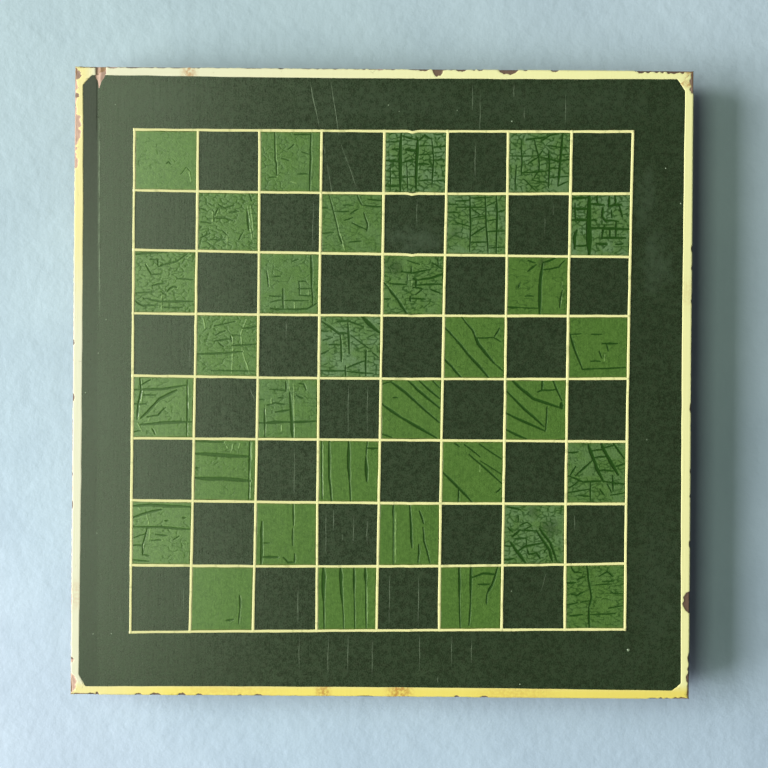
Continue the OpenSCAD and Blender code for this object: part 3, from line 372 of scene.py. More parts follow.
class Graph:
    """The nodes of a material or of a shared effect, whose patterns are read at its place."""

    def __init__(self, tree):
        self.tree = tree
        self.place = None

    def fill(self, node, inputs):
        """Sets a node's inputs, each to a value or to the output that it is linked to."""
        for name, value in inputs.items():
            if isinstance(value, bpy.types.NodeSocket):
                self.tree.links.new(value, node.inputs[name])
            else:
                node.inputs[name].default_value = value

    def add(self, kind, inputs, **settings):
        """Adds a node and gives its outputs."""
        node = self.tree.nodes.new(kind)
        for name, value in settings.items():
            setattr(node, name, value)
        self.fill(node, inputs)
        return node.outputs

    def calc(self, operation, *values, clamp=False):
        """A sum on numbers."""
        return self.add("ShaderNodeMath", dict(enumerate(values)), operation=operation, use_clamp=clamp)[0]

    def plus(self, a, b):
        return self.calc("ADD", a, b)

    def minus(self, a, b):
        return self.calc("SUBTRACT", a, b)

    def times(self, a, b):
        return self.calc("MULTIPLY", a, b)

    def scaled(self, value, factor, base, clamp=False):
        """A value times a factor, plus a base."""
        return self.calc("MULTIPLY_ADD", value, factor, base, clamp=clamp)

    def vector(self, operation, a, b):
        """A sum on coordinates."""
        return self.add("ShaderNodeVectorMath", {0: a, 1: b}, operation=operation)[0]

    def split(self, vector):
        return self.add("ShaderNodeSeparateXYZ", {0: vector})

    def blend(self, share, a, b, **settings):
        """A colour between a and b."""
        return self.add("ShaderNodeMix", {0: share, 6: a, 7: b}, data_type="RGBA", **settings)[2]

    def ramp(self, value, low, high, to_low=0.0, to_high=1.0):
        """A smooth step from one value to another."""
        inputs = {"Value": value, "From Min": low, "From Max": high, "To Min": to_low, "To Max": to_high}
        return self.add("ShaderNodeMapRange", inputs, interpolation_type="SMOOTHSTEP")[0]

    def stretched(self, x, y, z):
        """The graph's place, multiplied along each axis."""
        return self.add("ShaderNodeMapping", {"Vector": self.place, "Scale": (x, y, z)})[0]

    def noise(self, scale, detail=3.0, roughness=0.55, place=None):
        place = self.place if place is None else place
        inputs = {"Vector": place, "Scale": scale, "Detail": detail, "Roughness": roughness}
        return self.add("ShaderNodeTexNoise", inputs)["Fac"]

    def mark(self, name):
        """A value that the mesh keeps for each vertex."""
        return self.add("ShaderNodeAttribute", {}, attribute_name=name)["Fac"]

    def effect(self, group, **inputs):
        """The results of a shared effect."""
        return self.add("ShaderNodeGroup", {"Vector": self.place, **inputs}, node_tree=group)


class Finish(Graph):
    """A new material, its place in mm and the colour that has been laid on it so far."""

    def __init__(self, name):
        self.material = bpy.data.materials.new(name)
        self.material.use_nodes = True
        super().__init__(self.material.node_tree)
        self.shader = self.tree.nodes["Principled BSDF"]
        place = self.add("ShaderNodeTexCoord", {})["Object"]
        self.place = self.vector("MULTIPLY", place, (1000, 1000, 1000))
        self.color = None

    def cover(self, share, color, strength=None, **settings):
        """Lays a colour over the one so far, where the share is 1 in full or by its strength."""
        share = share if strength is None else self.times(share, strength)
        self.color = self.blend(share, self.color, color, **settings)

    def tint(self, share, color, strength=None):
        """Multiplies the colour so far by another."""
        self.cover(share, color, strength, blend_type="MULTIPLY")

    def done(self, roughness, height, relief):
        """Links the finish to its shader. The height's full range stands relief mm high."""
        bump = self.add("ShaderNodeBump", {"Height": height, "Distance": relief * MM, "Strength": 1.0})[0]
        self.fill(self.shader, {"Base Color": self.color, "Roughness": roughness, "Normal": bump})
        return self.material


def new_effect(name, inputs, outputs):
    """A node group with these sockets: its graph, what it is given, and where its results go."""
    group = Graph(bpy.data.node_groups.new(name, "ShaderNodeTree"))
    for names, direction in ((inputs, "INPUT"), (outputs, "OUTPUT")):
        for socket in names.split():
            kind = "NodeSocket" + SOCKET_KINDS.get(socket, "Float")
            group.tree.interface.new_socket(socket, in_out=direction, socket_type=kind)
    given = group.tree.nodes.new("NodeGroupInput").outputs
    group.place = given["Vector"]
    return group, given, group.tree.nodes.new("NodeGroupOutput")


# Effects that several finishes share

WOOD_FRESH = srgb(232, 196, 178)
WOOD_DARK = srgb(80, 58, 42)
WOOD_FIBRE = srgb(160, 126, 104)


def make_crazing():
    """Fine cracks round cells of old paint. Size in mm, Opening as a share of a cell."""
    group, given, sink = new_effect("paint crazing", "Vector Size Opening Share", "Crack")
    wander = group.add("ShaderNodeTexNoise", {"Vector": group.place, "Scale": 0.35, "Detail": 2.0})["Color"]
    moved = group.vector("ADD", group.place, group.vector("MULTIPLY", wander, (1.6, 1.6, 1.6)))
    scale = group.calc("DIVIDE", 1.0, given["Size"])
    cells = group.add("ShaderNodeTexVoronoi", {"Vector": moved, "Scale": scale}, feature="DISTANCE_TO_EDGE")
    crack = group.ramp(cells["Distance"], 0.0, given["Opening"], 1.0, 0.0)
    low = group.minus(0.75, group.times(given["Share"], 0.5))
    here = group.ramp(group.noise(0.12, 2.0), low, group.plus(low, 0.08))
    group.fill(sink, {"Crack": group.times(crack, here)})
    return group.tree


def make_brush_marks():
    """Shallow streaks along Y that a brush leaves in thick paint. Width in mm."""
    group, given, sink = new_effect("brush marks", "Vector Width", "Height")
    thin = group.vector("MULTIPLY", group.place, (1, 0.03, 1))
    group.fill(sink, {"Height": group.noise(group.calc("DIVIDE", 1.0, given["Width"]), 4.0, place=thin)})
    return group.tree


def make_grime():
    """Soft patches of dirt that have settled in old paint. Size in mm, Amount from 0 to 1."""
    group, given, sink = new_effect("grime", "Vector Size Amount", "Dirt")
    scale = group.calc("DIVIDE", 1.0, given["Size"])
    broad = group.noise(scale, 5.0, 0.62)
    fine = group.noise(group.times(scale, 9.0))
    both = group.plus(group.times(broad, 0.75), group.times(fine, 0.25))
    low = group.minus(0.8, group.times(given["Amount"], 0.45))
    group.fill(sink, {"Dirt": group.ramp(both, low, group.plus(low, 0.25))})
    return group.tree


def make_timber():
    """Sawn timber whose grain runs along Y: rings round a pith that leans, and fibres."""
    group, given, sink = new_effect("timber", "Vector Pith Lean Ring Early Late", "Color Height")
    here = group.split(group.place)
    pith = group.split(given["Pith"])
    sway = group.noise(1.0, 2.0, 0.5, group.stretched(0.02, 0.006, 0.02))
    x = group.minus(group.minus(here["X"], pith["X"]), group.times(here["Y"], given["Lean"]))
    x = group.scaled(sway, 24.0, x)
    z = group.scaled(here["Y"], 0.035, group.minus(here["Z"], pith["Z"]))
    radius = group.calc("SQRT", group.scaled(x, x, group.times(z, z)))
    ring = group.calc("FRACT", group.calc("DIVIDE", radius, given["Ring"]))
    late = group.times(group.calc("POWER", ring, 2.2), group.ramp(ring, 0.9, 1.0, 1.0, 0.0))
    fibres = group.noise(1.0, 4.0, 0.6, group.stretched(3.2, 0.06, 3.2))
    mixed = group.scaled(group.minus(fibres, 0.5), 0.9, late, clamp=True)
    color = group.blend(mixed, given["Early"], given["Late"])
    group.fill(sink, {"Color": color, "Height": group.scaled(fibres, 0.6, group.times(late, 0.5))})
    return group.tree


def make_torn_wood():
    """Wood bared where paint has come off. Dark is 0 for fresh wood and 1 for weathered."""
    group, given, sink = new_effect("torn wood", "Vector Dark", "Color")
    fibres = group.noise(1.0, 4.0, place=group.stretched(2.6, 0.25, 2.6))
    wood = group.blend(given["Dark"], WOOD_FRESH, WOOD_DARK)
    shown = group.ramp(fibres, 0.35, 0.7, 0.0, 0.4)
    group.fill(sink, {"Color": group.blend(shown, wood, WOOD_FIBRE, blend_type="MULTIPLY")})
    return group.tree


# Finishes

HAIR_CRACKS = make_crazing()
BRUSH_MARKS = make_brush_marks()
GRIME = make_grime()
TIMBER = make_timber()
TORN_WOOD = make_torn_wood()

GROUND_DARK = srgb(46, 64, 38)
GROUND_LIGHT = srgb(60, 79, 51)
GROUND_BROWN = srgb(46, 52, 30)
HAZE = srgb(90, 110, 88)
DUST = srgb(104, 118, 96)
PALE_MARK_AND_HIGHLIGHT = srgb(150, 168, 140)
GREEN_MAIN = srgb(79, 117, 46)
GREEN_PALE = srgb(94, 132, 58)
GREEN_MILKY = srgb(116, 146, 108)
GREEN_STAIN = srgb(38, 58, 30)
GREEN_RIM = srgb(108, 116, 44)
CRACK_FLOOR = srgb(36, 74, 18)
LIP_PALE_AND_HIGHLIGHT = srgb(142, 176, 104)
YELLOW = srgb(250, 247, 182)
YELLOW_LEFT_SHEEN = srgb(228, 226, 200)
YELLOW_WARM = srgb(246, 226, 106)
STRIPE_YELLOW = srgb(250, 246, 178)
STRIPE_DIMMED_LEFT = srgb(224, 220, 160)
STRIPE_THIN = srgb(130, 142, 84)
STAIN_ORANGE = srgb(186, 122, 52)
CHIP_RIM = srgb(150, 128, 84)


def ground_paint():
    """Dark green enamel, dulled in patches, with the grain showing through."""
    coat = Finish("ground paint")
    coat.color = coat.blend(coat.effect(GRIME, Size=34.0, Amount=0.6)["Dirt"], GROUND_DARK, GROUND_LIGHT)
    coat.cover(coat.ramp(coat.noise(0.3, 4.0, 0.6), 0.4, 0.7), GROUND_BROWN, 0.45)
    broad = coat.noise(0.35, 2.0, 0.5)
    fine = coat.noise(1.0, 2.0, 0.6, coat.stretched(1.4, 0.9, 1.0))
    speckle = coat.ramp(coat.scaled(coat.minus(broad, 0.5), 0.6, fine), 0.2, 0.8)
    coat.tint(coat.minus(1.0, speckle), srgb(186, 190, 182))
    coat.cover(speckle, srgb(76, 94, 70), 0.2)
    coat.cover(coat.ramp(coat.noise(1.3, 2.0, 0.7), 0.62, 0.8, 0.0, 0.3), DUST)
    # The narrow strip's paint is painted darker: painted shade, as its tilted face catches less sheen
    strip_dull_and_shaded = coat.mark("strip_dull_and_shaded")
    coat.tint(strip_dull_and_shaded, srgb(156, 154, 148), 0.7)
    cloud = coat.ramp(coat.noise(0.25, 5.0, 0.7), 0.3, 0.7)
    haze = coat.times(coat.mark("haze"), coat.scaled(cloud, 0.7, 0.3))
    coat.cover(haze, HAZE)
    streaks = coat.effect(BRUSH_MARKS, Width=0.9)["Height"]
    coat.cover(coat.ramp(streaks, 0.6, 0.8), HAZE, 0.07)
    # Light scratches and specks are the paint's own; the pale crests of the grain ridges are painted
    # highlights
    coat.cover(coat.mark("pale_mark_and_highlight"), PALE_MARK_AND_HIGHLIGHT)
    bare = coat.mark("bare")
    coat.cover(bare, coat.effect(TORN_WOOD, Dark=coat.mark("dark"))["Color"])
    coat.fill(coat.shader, {"Specular IOR Level": 0.7})
    roughness = coat.scaled(speckle, 0.12, 0.22)
    for dull, more in ((bare, 0.4), (strip_dull_and_shaded, 0.16), (haze, 0.25)):
        roughness = coat.scaled(dull, more, roughness)
    return coat.done(roughness, coat.scaled(streaks, 0.7, coat.noise(0.7, 4.0)), 0.06)


def green_paint():
    """Light green enamel that has crazed and shrunk, dark where it has opened."""
    coat = Finish("green paint")
    coat.color = coat.blend(coat.ramp(coat.noise(0.4, 5.0, 0.65), 0.3, 0.7), GREEN_MAIN, GREEN_PALE)
    clouded = coat.ramp(coat.noise(0.11), 0.38, 0.62, 0.3, 0.75)
    coat.cover(coat.times(coat.mark("milky"), clouded), GREEN_MILKY)
    fleck = coat.ramp(coat.noise(1.1, 4.0, 0.7), 0.35, 0.68)
    coat.tint(fleck, srgb(196, 206, 166), 0.4)
    combed = coat.noise(1.0, 3.0, 0.6, coat.stretched(1.6, 0.12, 1.0))
    coat.tint(coat.ramp(combed, 0.4, 0.7, 0.0, 0.35), srgb(196, 208, 176))
    coat.tint(coat.effect(GRIME, Size=9.0, Amount=0.45)["Dirt"], srgb(160, 172, 120), 0.3)
    hair_cracks = coat.effect(HAIR_CRACKS, Size=1.7, Opening=0.09, Share=0.55)["Crack"]
    coat.cover(hair_cracks, CRACK_FLOOR, 0.22)
    # The lips' pale green is partly worn paint and partly a painted highlight on lips that face the light
    coat.cover(coat.mark("lip"), LIP_PALE_AND_HIGHLIGHT)
    coat.cover(coat.mark("stain"), GREEN_STAIN)
    coat.cover(coat.mark("rim"), GREEN_RIM, 0.55)
    crack = coat.mark("crack")
    coat.cover(crack, CRACK_FLOOR)
    shine = coat.minus(0.9, coat.times(crack, 0.6))
    coat.fill(coat.shader, {"Specular IOR Level": 0.1, "Coat Roughness": 0.27})
    coat.fill(coat.shader, {"Coat IOR": 1.7, "Coat Weight": shine})
    streaks = coat.effect(BRUSH_MARKS, Width=1.4)["Height"]
    height = coat.minus(coat.plus(streaks, fleck), coat.times(hair_cracks, 0.6))
    return coat.done(coat.scaled(crack, 0.5, 0.4), height, 0.065)


def stripe_paint():
    """Thick cream yellow striping paint, a little soiled."""
    coat = Finish("striping paint")
    # The stripes are painted darker towards the left: painted shade that tempers the stronger light there
    to_right = coat.ramp(coat.split(coat.place)["X"], -200, 150)
    coat.color = coat.blend(to_right, STRIPE_DIMMED_LEFT, STRIPE_YELLOW)
    dirt = coat.effect(GRIME, Size=14.0, Amount=0.4)["Dirt"]
    coat.cover(dirt, YELLOW_WARM, 0.35)
    cracks = coat.effect(HAIR_CRACKS, Size=4.0, Opening=0.06, Share=0.25)["Crack"]
    coat.cover(cracks, srgb(96, 100, 52), 0.25)
    coat.cover(coat.mark("thin"), STRIPE_THIN)
    height = coat.minus(coat.noise(2.4), coat.times(cracks, 0.8))
    return coat.done(coat.scaled(dirt, 0.2, 0.4), height, 0.05)


def border_paint():
    """Cream yellow enamel on the margin and sides, chipped through to the wood."""
    coat = Finish("border paint")
    # Towards the left the yellow is painted paler and dimmer: a painted sheen, and painted shade that
    # tempers the stronger light there
    coat.color = coat.blend(coat.mark("left_sheen_tone"), YELLOW, YELLOW_LEFT_SHEEN)
    cloud = coat.effect(GRIME, Size=40.0, Amount=0.5)["Dirt"]
    coat.cover(coat.scaled(cloud, 0.2, coat.mark("warmth"), clamp=True), YELLOW_WARM)
    blot = coat.ramp(coat.noise(0.5, 4.0), 0.3, 0.65)
    coat.cover(coat.times(coat.mark("stain"), blot), STAIN_ORANGE)
    cracks = coat.effect(HAIR_CRACKS, Size=6.0, Opening=0.04, Share=0.2)["Crack"]
    coat.cover(cracks, srgb(120, 104, 58), 0.4)
    coat.tint(coat.effect(GRIME, Size=5.0, Amount=0.35)["Dirt"], srgb(206, 192, 130), 0.2)
    ragged = coat.scaled(coat.noise(1.6, 5.0, 0.7), 0.8, -0.4)
    chip = coat.plus(coat.mark("chip"), ragged)
    coat.cover(coat.ramp(chip, -0.2, -0.02), CHIP_RIM, 0.55)
    bare = coat.ramp(chip, -0.02, 0.06)
    coat.cover(bare, coat.effect(TORN_WOOD, Dark=coat.mark("dark"))["Color"])
    # The arris, the sides and the left rim are a little darker than the face
    here = coat.split(coat.place)
    coat.tint(coat.ramp(here["Z"], 29.3, 30.25, 0.9, 0.0), srgb(152, 144, 122))
    coat.tint(coat.ramp(here["Z"], 17, 29, 0.8, 0.0), srgb(150, 138, 106))
    coat.tint(coat.ramp(here["X"], -202.1, -202.8, 0.0, 0.8), srgb(206, 202, 188))
    streaks = coat.effect(BRUSH_MARKS, Width=1.1)["Height"]
    height = coat.minus(coat.minus(streaks, coat.times(cracks, 0.8)), coat.times(bare, 2.0))
    return coat.done(coat.scaled(bare, 0.35, 0.42), height, 0.06)


def bare_wood(name, pith, lean, early, late, along_x=False):
    """Old bare pine with plane marks and dust."""
    wood = Finish(name)
    if along_x:
        turned = {"Vector": wood.place, "Rotation": (0, 0, math.pi / 2)}
        wood.place = wood.add("ShaderNodeMapping", turned)[0]
    timber = wood.effect(TIMBER, Pith=pith, Lean=lean, Ring=4.2, Early=early, Late=late)
    wood.color = timber["Color"]
    dirt = wood.effect(GRIME, Size=28.0, Amount=0.75)["Dirt"]
    wood.tint(dirt, srgb(168, 150, 128), 0.6)
    wood.cover(wood.effect(GRIME, Size=3.0, Amount=0.4)["Dirt"], srgb(176, 160, 138), 0.22)
    wave = {"Vector": wood.place, "Scale": 0.045, "Distortion": 2.0}
    scallops = wood.add("ShaderNodeTexWave", wave, bands_direction="Y")["Fac"]
    return wood.done(wood.scaled(dirt, 0.12, 0.62), wood.scaled(scallops, 0.5, timber["Height"]), 0.12)


def dowel_wood():
    """Pale turned birch, its grain along X."""
    wood = Finish("dowel wood")
    fibres = wood.noise(1.0, 4.0, place=wood.stretched(0.15, 3.0, 3.0))
    wood.color = wood.blend(wood.ramp(fibres, 0.3, 0.7), srgb(206, 178, 136), srgb(176, 140, 98))
    return wood.done(wood.scaled(fibres, 0.2, 0.5), fibres, 0.05)


def old_steel():
    """Dulled steel with rust in its hollows."""
    steel = Finish("old steel")
    rust = steel.effect(GRIME, Size=2.2, Amount=0.85)["Dirt"]
    steel.color = steel.blend(rust, srgb(140, 134, 126), srgb(104, 62, 36))
    steel.fill(steel.shader, {"Metallic": steel.minus(0.9, steel.times(rust, 0.8))})
    return steel.done(steel.scaled(rust, 0.4, 0.42), steel.times(steel.noise(2.5, 4.0), rust), 0.06)


# The green squares

SQUARE_CELLS = 124
# In the green paint, in mm: how deep an open crack and a fine one show, how far that of a fine one
# grows towards the left, how high a curled lip stands, and how far the paint sags between cracks
CRACK_DEPTH = 0.19
FINE_DEPTH = 0.06
FINE_DEPTH_LEFT = 0.07
LIP_RISE = 0.11
SAG = 0.03
# How far the green paint runs under a pinstripe's rounded edge, measured from the stripe's middle
UNDER_STRIPE = 0.62


class PaintEdges:
    """Where a coat of paint ends, read from its CAD solid: its face, and the walls of its openings."""

    def __init__(self, name, is_face, is_wall):
        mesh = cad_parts[name].data
        points = [v.co / MM for v in mesh.vertices]
        faces = []
        walls = []
        for p in mesh.polygons:
            corners = tuple(p.vertices)
            middle = sum((points[k] for k in corners), Vector()) / len(corners)
            if is_face(middle, p.normal):
                faces.append(corners)
            elif is_wall(middle, p.normal):
                walls.append(corners)
        self.faces = BVHTree.FromPolygons(points, faces)
        self.walls = BVHTree.FromPolygons(points, walls)

    def measure(self, places, inward):
        """Distance past the nearest edge in mm, and the x of that wall's normal.

        The distance is above 0 where the paint is gone.
        """
        depth = np.empty(len(places))
        facing = np.empty(len(places))
        for k, (place, down) in enumerate(zip(places.tolist(), inward.tolist())):
            place = Vector(place)
            down = Vector(down)
            _, normal, _, distance = self.walls.find_nearest(place)
            painted = self.faces.ray_cast(place - down, down, 2)[0] is not None
            depth[k] = -distance if painted else distance
            facing[k] = normal.x
        return depth, facing


def square_edges(name, file, rank):
    """The open cracks of a green square. Its own edges against the pinstripes aren't walls here."""
    clear = STRIPE_W / 2 + 0.18

    def is_face(_, normal):
        return normal.z > 0.5

    def is_wall(middle, normal):
        x, y, _ = middle
        return (
            abs(normal.z) < 0.3
            and file_x(file, y) + clear < x < file_x(file + 1, y) - clear
            and rank_y(rank, x) + clear < y < rank_y(rank + 1, x) - clear
        )

    return PaintEdges(name, is_face, is_wall)


def square_places(file, rank, s, t):
    """Places in mm on a green square, for shares of its width and of its height."""
    across = UNDER_STRIPE / FILE_W + s * (1 - 2 * UNDER_STRIPE / FILE_W)
    along = UNDER_STRIPE / RANK_H + t * (1 - 2 * UNDER_STRIPE / RANK_H)
    corners = [crossing(file + i, rank + j) for j in (0, 1) for i in (0, 1)]
    shares = [(1 - across) * (1 - along), across * (1 - along), (1 - across) * along, across * along]
    x = sum(c[0] * w for c, w in zip(corners, shares))
    y = sum(c[1] * w for c, w in zip(corners, shares))
    return x, y


def square_crazing(square, x, y):
    """How open the fine crazing is, from 0 to 1."""
    share, strength, half_w, width, height = CRAZING[square]
    u = x / width + 0.7 * (rough(x / 3.5, y / 3.5, 11) - 0.5)
    v = y / height + 0.7 * (rough(x / 3.5, y / 3.5, 17) - 0.5)
    border, number = cell_borders(u, v, 0.95, 5)
    border_mm = border * min(width, height)
    swing = noise(x / 2.2, y / 1.2, 23)
    half = half_w * (0.4 + 1.2 * swing)
    line = smooth_step(half + 0.22, half - 0.08, border_mm) * (0.3 + 0.7 * smooth_step(0.15, 0.5, swing))
    patch = smooth_step(0.2, 0.7, rough(x / 9, y / 9, 31) + 0.4 * (share - 0.6))
    open_here = number < share * 1.3 * patch
    return line * open_here * strength * (0.55 + 0.45 * patch)


def square_lips(square, file, rank, x, y):
    """Height of the curled lips that stand free of the open cracks, from 0 to 1."""
    height = np.zeros(len(x))
    wander = 0.5 * (noise(y / 2, x / 9, 41) - 0.5)
    broken = 0.45 + 0.9 * noise(y / 1.7, x / 1.7, 43)
    for x0, y0, x1, y1 in LIPS.get(square, []):
        start = square_places(file, rank, x0 / 10, 1 - y0 / 10)
        end = square_places(file, rank, x1 / 10, 1 - y1 / 10)
        away, share = off_segment(x + wander, y, *start, *end)
        height = np.maximum(height, smooth_step(0.42, 0.05, away) * broken * smooth_step(0, 0.08, share))
    return np.clip(height, 0, 1)


def rim_distance(flat):
    """Distance in mm from the middle of the nearest pinstripe, for a square's unit places."""
    return UNDER_STRIPE + FILE_W * np.min([flat[:, 0], 1 - flat[:, 0], flat[:, 1], 1 - flat[:, 1]], axis=0)


def square_stains(square, file, rank, x, y):
    """How dark the stains of a square are, from 0 to 1."""
    value = np.zeros(len(x))
    ragged = 0.6 * (rough(x / 2, y / 2, 47) - 0.5)
    for sx, sy, radius, strength in STAINS.get(square, []):
        cx, cy = square_places(file, rank, sx / 10, 1 - sy / 10)
        far = np.hypot(x - cx, y - cy) / (radius * FILE_W / 10)
        value = np.maximum(value, strength * smooth_step(1.15, 0.2, far + ragged))
    return value


def green_square(square, material):
    """One square of crazed green paint, shaped over its CAD solid."""
    name = "green_square_" + square
    file = "abcdefgh".index(square[0])
    rank = int(square[1]) - 1
    mesh = closed_sheet(flat_grid(SQUARE_CELLS, SQUARE_CELLS), "crazed_" + square)
    flat = places(mesh)
    sheet_map(mesh, flat)
    x, y = square_places(file, rank, flat[:, 0], flat[:, 1])
    on_face = np.column_stack([x, y, np.full(len(x), GREEN_TOP)])
    depth, facing = square_edges(name, file, rank).measure(on_face, np.tile([0.0, 0.0, -1.0], (len(x), 1)))
    depth = depth + SHRUNK.get(square, 0) + 0.12 * (noise(x, y, 51) - 0.3)
    open_crack = smooth_step(-0.24, 0.08, depth)
    # The crack's dark colour reaches a little over the brink as painted shade, so that no bright line runs
    # along the far wall
    dark = smooth_step(-0.38, -0.1, depth)
    fine = square_crazing(square, x, y) * (1 - open_crack)
    # Lips curl from the crack walls that face the light, most on the left of the board, where their pale
    # colour is a painted highlight
    curl = smooth_step(-0.75, -0.35, depth) * np.clip(-facing, 0, 1) ** 2
    curl = curl * smooth_step(0.3, 0.8, noise(y / 4, x / 9, 53)) * smooth_step(60, -150, x)
    lips = np.maximum(curl, square_lips(square, file, rank, x, y)) * (1 - open_crack)
    left = smooth_step(30, -110, x)
    z = GREEN_TOP + SAG * (rough(x / 7, y / 7, 59) - 0.5) + LIP_RISE * lips
    z = z - CRACK_DEPTH * open_crack - (FINE_DEPTH + FINE_DEPTH_LEFT * left) * fine
    move_to(mesh, x, y, np.where(flat[:, 2] < -0.5, GROUND_TOP, z))
    # Cracks show less dark towards the left, where the shine of the wall lies over them
    paint(mesh, "crack", np.maximum(dark * (1 - lips), fine) * (1 - 0.3 * left))
    paint(mesh, "lip", 0.9 * lips)
    paint(mesh, "rim", smooth_step(1.9, 0.8, rim_distance(flat)))
    paint(mesh, "stain", square_stains(square, file, rank, x, y))
    paint(mesh, "milky", np.full(len(x), MILKY.get(square, 0)))
    make_piece(mesh, material, "green_paint", name)


# The pinstripes

STROKE_STEP = 1.0
# A stroke's section from edge to edge: share of its half width, and share of its rise
STROKE_ROUND = [
    (-1, 0), (-1, 0.76), (-0.86, 0.93), (-0.5, 0.99), (0, 1), (0.5, 0.99), (0.86, 0.93), (1, 0.76), (1, 0),
]
# Pinstripes each way, and in all
LINES = SQUARES + 1
STROKES = 2 * LINES
# How far each rank's pinstripe jogs towards the near side where it crosses the wide joint, in mm
STRIPE_JOGS = [0.1, 0.1, 0.2, 0.1, 0.15, 0.2, 0.45, 0.7, 0.8]


def stroke_line(number, share):
    """Middle of a pinstripe in mm: the files come first, then the ranks."""
    if number < LINES:
        start = crossing(number, 0)[1] - STRIPE_W / 2
        end = crossing(number, SQUARES)[1] + STRIPE_W / 2
        y = start + share * (end - start)
        return file_x(number, y), y
    rank = number - LINES
    start = crossing(0, rank)[0] - STRIPE_W / 2
    end = crossing(SQUARES, rank)[0] + STRIPE_W / 2
    x = start + share * (end - start)
    return x, rank_y(rank, x)


def stroke(number, share, across, rise):
    """Places of a stroke's vertices, its paint's rise as a share of the full one, and how thin it is."""
    x, y = stroke_line(number, share)
    run = share * SQUARES * RANK_H
    lane = np.full(len(run), number * 7.3)
    swell = 0.76 + 0.22 * noise(run / 16, lane, 61) + 0.05 * noise(run / 3, lane, 67)
    side = across * swell * STRIPE_W / 2 + 0.2 * (noise(run / 9, lane, 71) - 0.5)
    rise = rise * (0.84 + 0.22 * noise(run / 7, lane, 73))
    thin = 0.35 * smooth_step(0.82, 0.95, noise(run / 3, lane, 79))
    return (x + side, y, rise, thin) if number < LINES else (x, y + side, rise, thin)


def striping(material):
    """All the pinstripes as rounded strokes of paint, closed underneath."""
    section = np.array(STROKE_ROUND + [(0, 0), (-1, 0)])
    corners = len(section)
    rows = STROKES * corners - 1
    bm = flat_grid(int(SQUARES * RANK_H / STROKE_STEP), rows)
    gaps = [f for f in bm.faces if round(f.calc_center_median().y * rows - 0.5) % corners == corners - 1]
    bmesh.ops.delete(bm, geom=gaps, context="FACES")
    mesh = as_mesh(bm, "pinstripes")
    flat = places(mesh)
    corner, _, _ = loop_places(mesh, flat)
    lay_map(mesh, corner[:, :2])
    row = np.round(flat[:, 1] * rows).astype(int)
    number = row // corners
    across, rise = section[row % corners].T
    x, y, thin = np.empty((3, len(row)))
    for k in range(STROKES):
        own = number == k
        x[own], y[own], rise[own], thin[own] = stroke(k, flat[own, 0], across[own], rise[own])
    over_joint = np.exp(-(((x - WIDE_JOINT_X) / 2.2) ** 2)) * (number >= LINES)
    y = y - over_joint * np.choose(np.clip(number - LINES, 0, SQUARES), STRIPE_JOGS)
    move_to(mesh, x, y, GROUND_TOP + rise * STRIPE_RISE + 0.12 * over_joint * (rise > 0))
    paint(mesh, "thin", thin)
    weld(mesh, 0.01)
    make_piece(mesh, material, "yellow_paint", "striping")


# The dark ground

# Ridges of grain that stand out of the ground paint, their crests painted pale as highlights, in mm on the
# board: x, nearest y, farthest y
GRAIN_RIDGES = [
    (-46, 87, 120), (-63, 28, 41), (22, 102, 121), (-22, -35, -1), (-9.5, -35, -1), (-57, -75, -42),
    (-36, -112, -86), (-31, -98, -83), (-25, -104, -99), (-18, -106, -87), (-9, -107, -90),
    (-54, -159, -133), (6, -158, -125), (25, -160, -126), (-129, -152, -134), (-128, -49, -43),
    (-126, 8, 40), (60, 132, 159), (111.5, 110, 119), (106, 97, 111), (127, -97, -85),
    (58, 178, 198), (63, 164, 190), (85, 187, 196), (92, 173, 182), (119, 167, 190),
    (-53, -190, -165), (-34, -195, -165), (-21, -193, -165), (-5, -193, -168), (26, -190, -165),
    (47, -188, -165), (60, -184, -167),
]
# Slanted light scratches: x and y of one end, x and y of the other, strength
SCRATCHES = [
    (-49, 198, -42, 166, 0.3), (-42, 166, -38, 148, 0.2), (-38, 148, -27, 88, 0.15),
    (-35, 198, -29, 159, 0.3), (-29, 159, -17, 126, 0.22), (-17, 126, -24, 84, 0.12),
    (38, -192, 38, -197, 0.35), (109, -123, 105, -137, 0.15), (-87, -3, -83, -13, 0.2),
]
# Light specks: x, y and radius
SPECKS = [
    (-176, 181, 0.5), (-181, 40, 0.6), (-186, 18, 0.5), (-194, -8, 0.5), (3, 182, 0.5), (10, 178, 0.4),
    (48, 179, 0.4), (84, 172, 0.6), (185, 142, 0.6), (195, 119, 0.6), (-186, -100, 0.5),
    (-176, -166, 0.5), (-188, -166, 0.5), (174, -36, 0.5), (163, -174, 1.2), (92, -197, 0.6),
    (86, -136, 0.5),
]
# Patches where the ground paint has gone dull and grey: x, y, half width, half length, strength
HAZES = [
    (172, 122, 7, 18, 0.22), (179, 80, 11, 20, 0.24), (22, 95, 17, 10, 0.3), (-7, 114, 10, 8, 0.14),
    (-180, -20, 12, 26, 0.12), (-184, -104, 8, 20, 0.12), (-184, -148, 6, 14, 0.14),
    (-150, 186, 40, 12, 0.12), (150, -180, 30, 12, 0.06), (120, 184, 75, 13, 0.1), (0, 184, 70, 12, 0.09),
    (181, -135, 13, 50, 0.11),
]


def strip_joint_x(y):
    """Joint between the narrow strip and the middle plank."""
    return STRIP_FAR + (STRIP_NEAR - STRIP_FAR) * (0.5 - y / BOARD_L)


def strip_lean_and_shade(y):
    """The narrow strip leans, and its paint is duller and painted darker as shade, most at its far end."""
    return 0.25 + 0.75 * smooth_step(20, 170, y)


